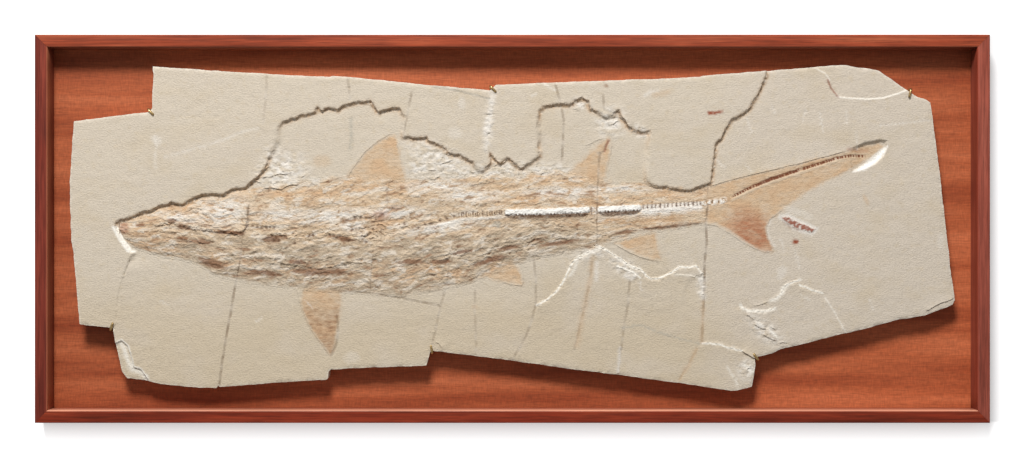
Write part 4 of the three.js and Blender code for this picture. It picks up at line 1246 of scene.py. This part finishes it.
def noise_node(tree, vector, scale, detail, roughness=0.5):
    made = node(tree, "ShaderNodeTexNoise", Scale=scale, Detail=detail, Roughness=roughness)
    tree.links.new(vector, made.inputs["Vector"])
    return made.outputs["Fac"]


def remap(tree, value, low, high, to_low, to_high):
    made = node(tree, "ShaderNodeMapRange")
    made.inputs["From Min"].default_value = low
    made.inputs["From Max"].default_value = high
    made.inputs["To Min"].default_value = to_low
    made.inputs["To Max"].default_value = to_high
    tree.links.new(value, made.inputs["Value"])
    return made.outputs["Result"]


def math_node(tree, operation, first, second):
    made = node(tree, "ShaderNodeMath", operation=operation)
    for socket, value in zip(made.inputs, (first, second)):
        if isinstance(value, (int, float)):
            socket.default_value = value
        else:
            tree.links.new(value, socket)
    return made.outputs[0]


def multiplied(tree, colour, factor):
    made = node(tree, "ShaderNodeVectorMath", operation="SCALE")
    tree.links.new(colour, made.inputs[0])
    tree.links.new(factor, made.inputs["Scale"])
    return made.outputs["Vector"]


def blended(tree, factor, first, second):
    made = node(tree, "ShaderNodeMix", data_type="RGBA")
    tree.links.new(factor, made.inputs[0])
    tree.links.new(first, made.inputs[6])
    made.inputs[7].default_value = (*second, 1)
    return made.outputs[2]


def ramp(tree, value, stops):
    made = node(tree, "ShaderNodeValToRGB")
    elements = made.color_ramp.elements
    while len(elements) < len(stops):
        elements.new(0.5)
    for element, (place, colour) in zip(elements, stops):
        element.position = place
        element.color = (*colour, 1)
    tree.links.new(value, made.inputs["Fac"])
    return made.outputs["Color"]


def bump(tree, shader, height, strength, distance):
    made = node(tree, "ShaderNodeBump", Strength=strength, Distance=distance)
    tree.links.new(height, made.inputs["Height"])
    tree.links.new(made.outputs["Normal"], shader.inputs["Normal"])


def limestone(name, grain_strength, speckle):
    material, tree, shader = new_material(name)
    pigment_node = node(tree, "ShaderNodeAttribute", attribute_name="pigment")
    grain = noise_node(tree, stretched(tree, (0.7, 1.0, 1.0)), 560, 4, 0.6)
    tone = remap(tree, grain, 0.3, 0.7, 1 - speckle, 1 + speckle)
    tree.links.new(multiplied(tree, pigment_node.outputs["Color"], tone), shader.inputs["Base Color"])
    speck = noise_node(tree, stretched(tree, (1, 1, 1)), 260, 3)
    tree.links.new(remap(tree, speck, 0.3, 0.7, 0.82, 0.96), shader.inputs["Roughness"])
    shader.inputs["Specular IOR Level"].default_value = 0.25
    bump(tree, shader, grain, grain_strength, 0.0016)
    return material


def mahogany(name, dark, middle, light, worn, along_y):
    """Rail wood: long grain, fine pores, and painted light and shade on its inner wall."""
    material, tree, shader = new_material(name)
    grain = (30, 2.2, 30) if along_y else (2.2, 30, 30)
    pores = (420, 14, 420) if along_y else (14, 420, 420)
    bands = noise_node(tree, stretched(tree, grain), 2.4, 5, 0.65)
    colour = ramp(tree, bands, [(0.3, dark), (0.5, middle), (0.72, light)])
    fleck = noise_node(tree, stretched(tree, pores), 1.6, 3, 0.6)
    colour = multiplied(tree, colour, remap(tree, fleck, 0.32, 0.62, 0.6, 1.12))
    # The inner wall's own colour is painted light and shade: lighter on some rails, darker on others
    inner_wall_shading_mask = node(tree, "ShaderNodeAttribute", attribute_name="inner_wall_shading_mask").outputs["Fac"]
    inner_wall_shading = math_node(tree, "MULTIPLY", inner_wall_shading_mask, remap(tree, bands, 0.3, 0.65, 0.55, 1.0))
    tree.links.new(blended(tree, inner_wall_shading, colour, worn), shader.inputs["Base Color"])
    tree.links.new(remap(tree, fleck, 0.3, 0.7, 0.5, 0.32), shader.inputs["Roughness"])
    shader.inputs["Specular IOR Level"].default_value = 0.2
    bump(tree, shader, fleck, 0.3, 0.0004)
    return material


def board_wood(name):
    """Board wood: soft ribbons along it, short pores both ways, and painted light towards its lower right.
    """
    material, tree, shader = new_material(name)
    ribbons = noise_node(tree, stretched(tree, (1.1, 17, 1)), 2.0, 4, 0.55)
    colour = ramp(tree, ribbons, [(0.3, (0.235, 0.046, 0.016)), (0.5, (0.355, 0.085, 0.031)),
                                  (0.7, (0.46, 0.128, 0.052))])
    upright = noise_node(tree, stretched(tree, (520, 110, 1)), 1.0, 3, 0.6)
    level = noise_node(tree, stretched(tree, (60, 560, 1)), 1.0, 3, 0.6)
    colour = multiplied(tree, colour, remap(tree, upright, 0.34, 0.66, 0.86, 1.1))
    colour = multiplied(tree, colour, remap(tree, level, 0.32, 0.62, 0.78, 1.1))
    # Painted light: up to a quarter brighter towards the lower right
    place = node(tree, "ShaderNodeSeparateXYZ")
    tree.links.new(node(tree, "ShaderNodeTexCoord").outputs["Object"], place.inputs[0])
    corner = math_node(tree, "SUBTRACT", place.outputs["X"], place.outputs["Y"])
    colour = multiplied(tree, colour, remap(tree, corner, 0.3, 0.75, 1.0, 1.25))
    tree.links.new(colour, shader.inputs["Base Color"])
    tree.links.new(remap(tree, level, 0.3, 0.7, 0.6, 0.42), shader.inputs["Roughness"])
    shader.inputs["Specular IOR Level"].default_value = 0.2
    bump(tree, shader, upright, 0.2, 0.0004)
    return material


def brass(name):
    material, tree, shader = new_material(name)
    tarnish = noise_node(tree, stretched(tree, (1, 1, 0.4)), 700, 3)
    tree.links.new(ramp(tree, tarnish, [(0.3, (0.30, 0.19, 0.07)), (0.7, (0.80, 0.60, 0.30))]),
                   shader.inputs["Base Color"])
    shader.inputs["Metallic"].default_value = 1.0
    tree.links.new(remap(tree, tarnish, 0.3, 0.7, 0.5, 0.32), shader.inputs["Roughness"])
    bump(tree, shader, tarnish, 0.2, 0.0002)
    return material


def shown(piece, stands_for):
    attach(piece, "root")
    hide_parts(stands_for)


# The trunk: where its own fine mesh shows, and how it sinks under the slab's face round its border
TRUNK_MARGIN = 6.0
trunk_loop = np.vstack([
    resampled(body_upper, 2.0) + np.array([0, TRUNK_MARGIN]),
    (resampled(body_lower, 2.0) - np.array([0, TRUNK_MARGIN]))[::-1],
])


def trunk_depth(x, y, window):
    """Distance inside the trunk's border and clear of the ledge."""
    return np.minimum(signed(x, y, trunk_loop, 20), window - 0.8)


def slab_height(x, y):
    z, window = face_height(x, y)
    return z - TRUNK_ROOT * smooth(2.6, 5.5, trunk_depth(x, y, window))


def trunk_height(x, y):
    z, window = face_height(x, y)
    return z + 0.12 - 1.6 * (1 - smooth(0.0, 2.5, trunk_depth(x, y, window)))


# Slab, in two pieces that meet along the ledge: the upper layer of stone and the lower bedding
LEDGE_ROWS = [(0.35, 0.8), (1.0, 0.9), (1.9, 1.2), (3.0, 1.5), (4.4, 1.9), (6.2, 2.2)]
LIP_ROWS = [(0.35, 0.8), (1.0, 0.9), (2.0, 1.4)]
CRACK_ROWS = [(0.3, 0.8), (1.0, 1.0), (2.2, 1.6)]
SCRATCH_ROWS = [(0.3, 0.8), (1.0, 1.0)]
BORDER_ROWS = [(0.7 + 1.3 * n, 1.3) for n in range(5)]
BONE_ROWS = [(0.3 + 0.65 * n, 0.65) for n in range(10)]
FINE_STEP = 1.25
COARSE_STEP = 2.5
LEFT_OUT_UNDER_TRUNK = 0.93
SLAB_WALL_ROWS = 7
SLAB_WALL_ROUGHNESS = 0.7
rng = np.random.default_rng(POINT_SEED)


def slab_points():
    ledges = [upper_edge, snout_break, left_chip_edge, top_right_chip_edge, round_loop(tail_recess)]
    edge_rows = [rows_beside(line, LEDGE_ROWS) for line in ledges]
    lip_rows = [rows_beside(line, LIP_ROWS) for _, _, _, line in lips]
    crack_rows = [rows_beside(line, CRACK_ROWS) for _, _, _, line in cracks]
    crack_rows += [rows_beside(line, SCRATCH_ROWS) for line in scratches]
    tail_line = backbone[backbone[:, 0] > to_mm([TAIL_MESH_START])[0, 0]]
    tail_rows = rows_beside(tail_line, BONE_ROWS)
    border = rows_beside(round_loop(trunk_loop), BORDER_ROWS)
    fine = hex_grid(outline.min(0), outline.max(0), FINE_STEP, rng)
    wanted = zones(fine[:, 0], fine[:, 1], RUBBLE) > 0.15
    for fin in fins + [loose_bone]:
        wanted |= signed(fine[:, 0], fine[:, 1], fin, 6) > -2
    coarse = hex_grid(outline.min(0), outline.max(0), COARSE_STEP, rng)
    levels = [(tail_rows, 0.45), (np.vstack(edge_rows), 0.55), (np.vstack(lip_rows), 0.6),
              (np.vstack(crack_rows), 0.7), (border, 0.9), (fine[wanted], 1.05), (coarse, 2.2)]
    points = thinned(levels)
    window = signed(points[:, 0], points[:, 1], bedding_window)
    hidden = trunk_depth(points[:, 0], points[:, 1], window) > 7
    return points[~hidden | (rng.uniform(size=len(points)) > LEFT_OUT_UNDER_TRUNK)]


ledge_line = resampled(to_mm(SNOUT_BREAK + UPPER_LAYER_EDGE[1:]), OUTLINE_STEP)
stone = limestone("limestone", 0.6, 0.08)
points = slab_points()
for name, loop in zip(("upper_layer", "lower_bedding"), split(outline, ledge_line)):
    coords, faces = triangulated(loop, inside_by(points, loop, 0.8))
    height = slab_height(*coords.T.copy())
    slab = stone_piece(
        name, coords, faces, height, SLAB_BACK, SLAB_WALL_ROWS, SLAB_WALL_ROUGHNESS, stone)
    shown(slab, "fossil_slab")

# Trunk, in two pieces that meet along the glued break under the first fin
TRUNK_BREAK = [
    (391, 172), (390, 180), (387, 193), (387, 209), (380, 235), (373, 255), (371, 275), (370, 300),
]
TRUNK_STEP = 0.85
TRUNK_BOTTOM = BEDDING - 7


def trunk_points():
    front_line = backbone[backbone[:, 0] < to_mm([TRUNK_MESH_STOP])[0, 0]]
    torn = np.vstack([rows_beside(line, [(0.35, 0.8), (1.0, 0.9)]) for _, _, _, line in lips])
    grid = hex_grid(trunk_loop.min(axis=0), trunk_loop.max(axis=0), TRUNK_STEP, rng)
    return thinned([(rows_beside(front_line, BONE_ROWS), 0.5), (torn, 0.6), (grid, 0.8 * TRUNK_STEP)])


skin = limestone("fossil_skin", 0.9, 0.12)
points = trunk_points()
trunk_break = resampled(to_mm(TRUNK_BREAK), 1.2)
for name, loop in zip(("shark_rear", "shark_front"), split(trunk_loop, trunk_break)):
    coords, faces = triangulated(loop, inside_by(points, loop, 0.6))
    height = trunk_height(*coords.T.copy())
    trunk = stone_piece(name, coords, faces, height, TRUNK_BOTTOM, 1, 0.0, skin)
    shown(trunk, "fossil_slab")

# Rails, each with a rounded section and mitred ends
RAIL_FACE = 16.0
BOARD_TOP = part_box("back_board")[1].z / MM
REBATE = 6.0
MITRE_GAP = 0.12
RAIL_STATION = 24.0
SECTION_CORNERS = [
    (0.0, 0.0, 0.6), (0.0, FRAME_DEPTH, 1.6), (RAIL_FACE, FRAME_DEPTH, 1.9), (RAIL_FACE, BOARD_TOP, 0.0),
    (RAIL_FACE - REBATE, BOARD_TOP, 0.0), (RAIL_FACE - REBATE, 0.0, 0.6),
]
ARC_STEPS = 6


def rounded_section():
    section = []
    count = len(SECTION_CORNERS)
    for n, (u, z, radius) in enumerate(SECTION_CORNERS):
        here = np.array([u, z])
        if radius == 0:
            section.append(here)
            continue
        before = np.array(SECTION_CORNERS[n - 1][:2]) - here
        after = np.array(SECTION_CORNERS[(n + 1) % count][:2]) - here
        start = here + before / np.hypot(*before) * radius
        end = here + after / np.hypot(*after) * radius
        for step in range(ARC_STEPS + 1):
            t = step / ARC_STEPS
            section.append((1 - t) ** 2 * start + 2 * t * (1 - t) * here + t * t * end)
    return np.array(section)


def rail_piece(name, along, outward, half_length, half_reach, material):
    section = rounded_section()
    stations = max(2, round(2 * half_length / RAIL_STATION))
    points = []
    for n in range(stations + 1):
        place = -1 + 2 * n / stations
        for u, z in section:
            run = place * (half_length - u - MITRE_GAP)
            flat = np.array(along) * run + np.array(outward) * (half_reach - u)
            points.append((flat[0], flat[1], z))
    polygons = tube_faces(stations + 1, len(section))
    turn = along[0] * outward[1] - along[1] * outward[0]
    if turn < 0:
        polygons = [polygon[::-1] for polygon in polygons]
    piece = new_piece(name + "_wood", points, polygons, material, 50)
    # Inner wall, for the painted light and shade: a highlight on the bottom and left rails, shade on the
    # top and right
    inner_wall = np.clip((section[:, 0] - RAIL_FACE + 1.6) / 1.2, 0, 1) * (section[:, 1] > BOARD_TOP)
    inner_wall_shading_mask = np.tile(inner_wall, stations + 1)
    piece.data.attributes.new("inner_wall_shading_mask", "FLOAT", "POINT").data.foreach_set("value", inner_wall_shading_mask)
    shown(piece, name)


HALF_WIDTH = FRAME_WIDTH / 2
HALF_HEIGHT = FRAME_HEIGHT / 2
# For each rail: the way it runs, the way it faces, its dark, middle and light wood, and its inner wall's
# painted light and shade
RAILS = {
    "top": (
        (1, 0), (0, 1),
        (0.19, 0.032, 0.012), (0.31, 0.058, 0.024), (0.42, 0.105, 0.045), (0.22, 0.07, 0.04),
    ),
    "bottom": (
        (1, 0), (0, -1),
        (0.13, 0.018, 0.007), (0.22, 0.028, 0.011), (0.32, 0.052, 0.02), (0.76, 0.35, 0.22),
    ),
    "left": (
        (0, 1), (-1, 0),
        (0.10, 0.016, 0.009), (0.165, 0.027, 0.016), (0.24, 0.046, 0.027), (0.42, 0.14, 0.07),
    ),
    "right": (
        (0, 1), (1, 0),
        (0.18, 0.040, 0.025), (0.28, 0.066, 0.042), (0.37, 0.10, 0.065), (0.25, 0.04, 0.02),
    ),
}
for side, (along, outward, dark, middle, light, worn) in RAILS.items():
    upright = along == (0, 1)
    half_length, half_reach = (HALF_HEIGHT, HALF_WIDTH) if upright else (HALF_WIDTH, HALF_HEIGHT)
    wood = mahogany("mahogany_" + side, dark, middle, light, worn, upright)
    rail_piece("rail_" + side, along, outward, half_length, half_reach, wood)
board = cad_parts["back_board"]
board.data.materials.clear()
board.data.materials.append(board_wood("mahogany_board"))

# Pins: a bent brass nail each, from the board up and over the slab's edge
PIN_RADIUS = 1.45
PIN_SIDES = 14
PIN_BOTTOM = 3.2
PIN_HOOK = 10.5
PIN_BEND = 3.2
PIN_BEND_STEPS = 8
# For each pin: where it leaves the board, and a place on the slab that its hook points to
PINS = {
    "pin_upper_left": ((148.4, 109.4), (156, 117)),
    "pin_top": ((490.2, 86.4), (498, 94)),
    "pin_upper_right": ((911, 89.2), (909, 97)),
    "pin_lower_left": ((110.6, 330.2), (113, 324)),
    "pin_bottom": ((432.2, 353.4), (431, 346)),
    "pin_lower_right": ((758.4, 360), (753, 353)),
}


def pin_piece(name, foot, towards, material):
    base, aim = to_mm([foot, towards])
    lean = (aim - base) / np.hypot(*(aim - base))
    tip = base + lean * PIN_HOOK
    rest = max(face_height(np.array([p[0]]), np.array([p[1]]))[0][0] for p in (tip, base + lean * 6))
    top = min(rest + PIN_RADIUS + 0.15, FRAME_DEPTH - PIN_RADIUS - 0.1)
    bend = top - PIN_BEND
    route = [(0.0, PIN_BOTTOM), (0.0, 14.0), (0.0, bend)]
    for step in range(1, PIN_BEND_STEPS + 1):
        angle = step / PIN_BEND_STEPS * math.pi / 2
        route.append((PIN_BEND * (1 - math.cos(angle)), bend + PIN_BEND * math.sin(angle)))
    route += [(PIN_HOOK - 1.2, top), (PIN_HOOK - 0.3, top - 0.05), (PIN_HOOK, top - 0.1)]
    radii = [PIN_RADIUS] * (len(route) - 2) + [0.8 * PIN_RADIUS, 0.35 * PIN_RADIUS]
    route = np.array(route)
    ahead = np.gradient(route, axis=0)
    ahead /= np.hypot(*ahead.T)[:, None]
    sideways = np.array([-lean[1], lean[0], 0])
    points = []
    for (out, z), (run, rise), radius in zip(route, ahead, radii):
        middle = np.array([*(base + lean * out), z])
        over = np.array([-lean[0] * rise, -lean[1] * rise, run])
        for n in range(PIN_SIDES):
            angle = 2 * math.pi * n / PIN_SIDES
            points.append(middle + radius * (math.cos(angle) * sideways + math.sin(angle) * over))
    piece = new_piece(name + "_brass", points, tube_faces(len(route), PIN_SIDES), material, 60)
    shown(piece, name)


pin_brass = brass("tarnished_brass")
for name, (foot, towards) in PINS.items():
    pin_piece(name, foot, towards, pin_brass)

# Floor: a pale surface with a little painted glow, less so close below and to the right of the frame
# That dip in glow, and a darker colour close to the right, is a painted shadow
FLOOR_HALF = 4.0
SHADE_BELOW = 0.031
SHADE_RIGHT = (0.004, 0.050)
floor_mesh = bpy.data.meshes.new("studio_floor")
floor_mesh.from_pydata(
    [(-FLOOR_HALF, -FLOOR_HALF, 0), (FLOOR_HALF, -FLOOR_HALF, 0), (FLOOR_HALF, FLOOR_HALF, 0),
     (-FLOOR_HALF, FLOOR_HALF, 0)], [], [(0, 1, 2, 3)])
floor = bpy.data.objects.new("studio_floor", floor_mesh)
bpy.context.scene.collection.objects.link(floor)
floor_paint, floor_tree, floor_shader = new_material("floor_white")
place = node(floor_tree, "ShaderNodeSeparateXYZ")
floor_tree.links.new(node(floor_tree, "ShaderNodeTexCoord").outputs["Object"], place.inputs[0])
below = math_node(floor_tree, "SUBTRACT", -HALF_HEIGHT * MM, place.outputs["Y"])
aside = math_node(floor_tree, "SUBTRACT", place.outputs["X"], HALF_WIDTH * MM)
glow_below = remap(floor_tree, below, 0.0, SHADE_BELOW, 0.34, 0.9)
glow_aside = remap(floor_tree, aside, *SHADE_RIGHT, 0.36, 0.6)
glow = math_node(floor_tree, "MAXIMUM", glow_below, glow_aside)
left_of_it = math_node(floor_tree, "SUBTRACT", -HALF_WIDTH * MM, place.outputs["X"])
above = math_node(floor_tree, "SUBTRACT", place.outputs["Y"], HALF_HEIGHT * MM)
other_sides = math_node(floor_tree, "MAXIMUM", below, math_node(floor_tree, "MAXIMUM", left_of_it, above))
white = math_node(floor_tree, "MAXIMUM", remap(floor_tree, aside, *SHADE_RIGHT, 0.4, 0.9),
                  remap(floor_tree, other_sides, 0.0, 0.004, 0.0, 0.9))
floor_tree.links.new(white, floor_shader.inputs["Base Color"])
floor_tree.links.new(glow, floor_shader.inputs["Emission Strength"])
floor_shader.inputs["Roughness"].default_value = 0.9
floor_shader.inputs["Emission Color"].default_value = (1, 1, 1, 1)
floor_mesh.materials.append(floor_paint)

# Light: one soft lamp above the photo's top edge and a little to its left, and an even sky
KEY_DISTANCE = 3.6
KEY_ELEVATION = math.radians(43)
KEY_AZIMUTH = math.radians(101)
KEY_SIZE = 1.0
KEY_POWER = 167
SKY = 0.28
key_data = bpy.data.lights.new("key", "AREA")
key_data.shape = "DISK"
key_data.size = KEY_SIZE
key_data.energy = KEY_POWER
key = bpy.data.objects.new("key", key_data)
key.location = (
    KEY_DISTANCE * math.cos(KEY_ELEVATION) * math.cos(KEY_AZIMUTH),
    KEY_DISTANCE * math.cos(KEY_ELEVATION) * math.sin(KEY_AZIMUTH),
    KEY_DISTANCE * math.sin(KEY_ELEVATION),
)
key.rotation_euler = (-key.location).to_track_quat("-Z", "Y").to_euler()
bpy.context.scene.collection.objects.link(key)
world = bpy.data.worlds.new("studio")
world.use_nodes = True
background = next(n for n in world.node_tree.nodes if n.type == "BACKGROUND")
background.inputs["Color"].default_value = (1, 1, 1, 1)
background.inputs["Strength"].default_value = SKY
bpy.context.scene.world = world
bpy.context.scene.view_settings.view_transform = "Standard"
bpy.context.scene.view_settings.look = "None"

# Camera: straight above the face
IMAGE_WIDTH = 1024
IMAGE_CENTRE = (512.0, 228.5)
CAMERA_ABOVE_RIM = 2000.0
SENSOR_WIDTH = 36
rim_scale = FRAME_WIDTH / TRACED_FRAME_WIDTH
camera_data = bpy.data.cameras.new("camera")
camera_data.sensor_width = SENSOR_WIDTH
camera_data.lens = SENSOR_WIDTH * CAMERA_ABOVE_RIM / (IMAGE_WIDTH * rim_scale)
camera = bpy.data.objects.new("camera", camera_data)
camera.location = (
    (IMAGE_CENTRE[0] - TRACED_CENTRE[0]) * rim_scale * MM,
    (TRACED_CENTRE[1] - IMAGE_CENTRE[1]) * rim_scale * MM,
    (FRAME_DEPTH + CAMERA_ABOVE_RIM) * MM,
)
bpy.context.scene.collection.objects.link(camera)
bpy.context.scene.camera = camera
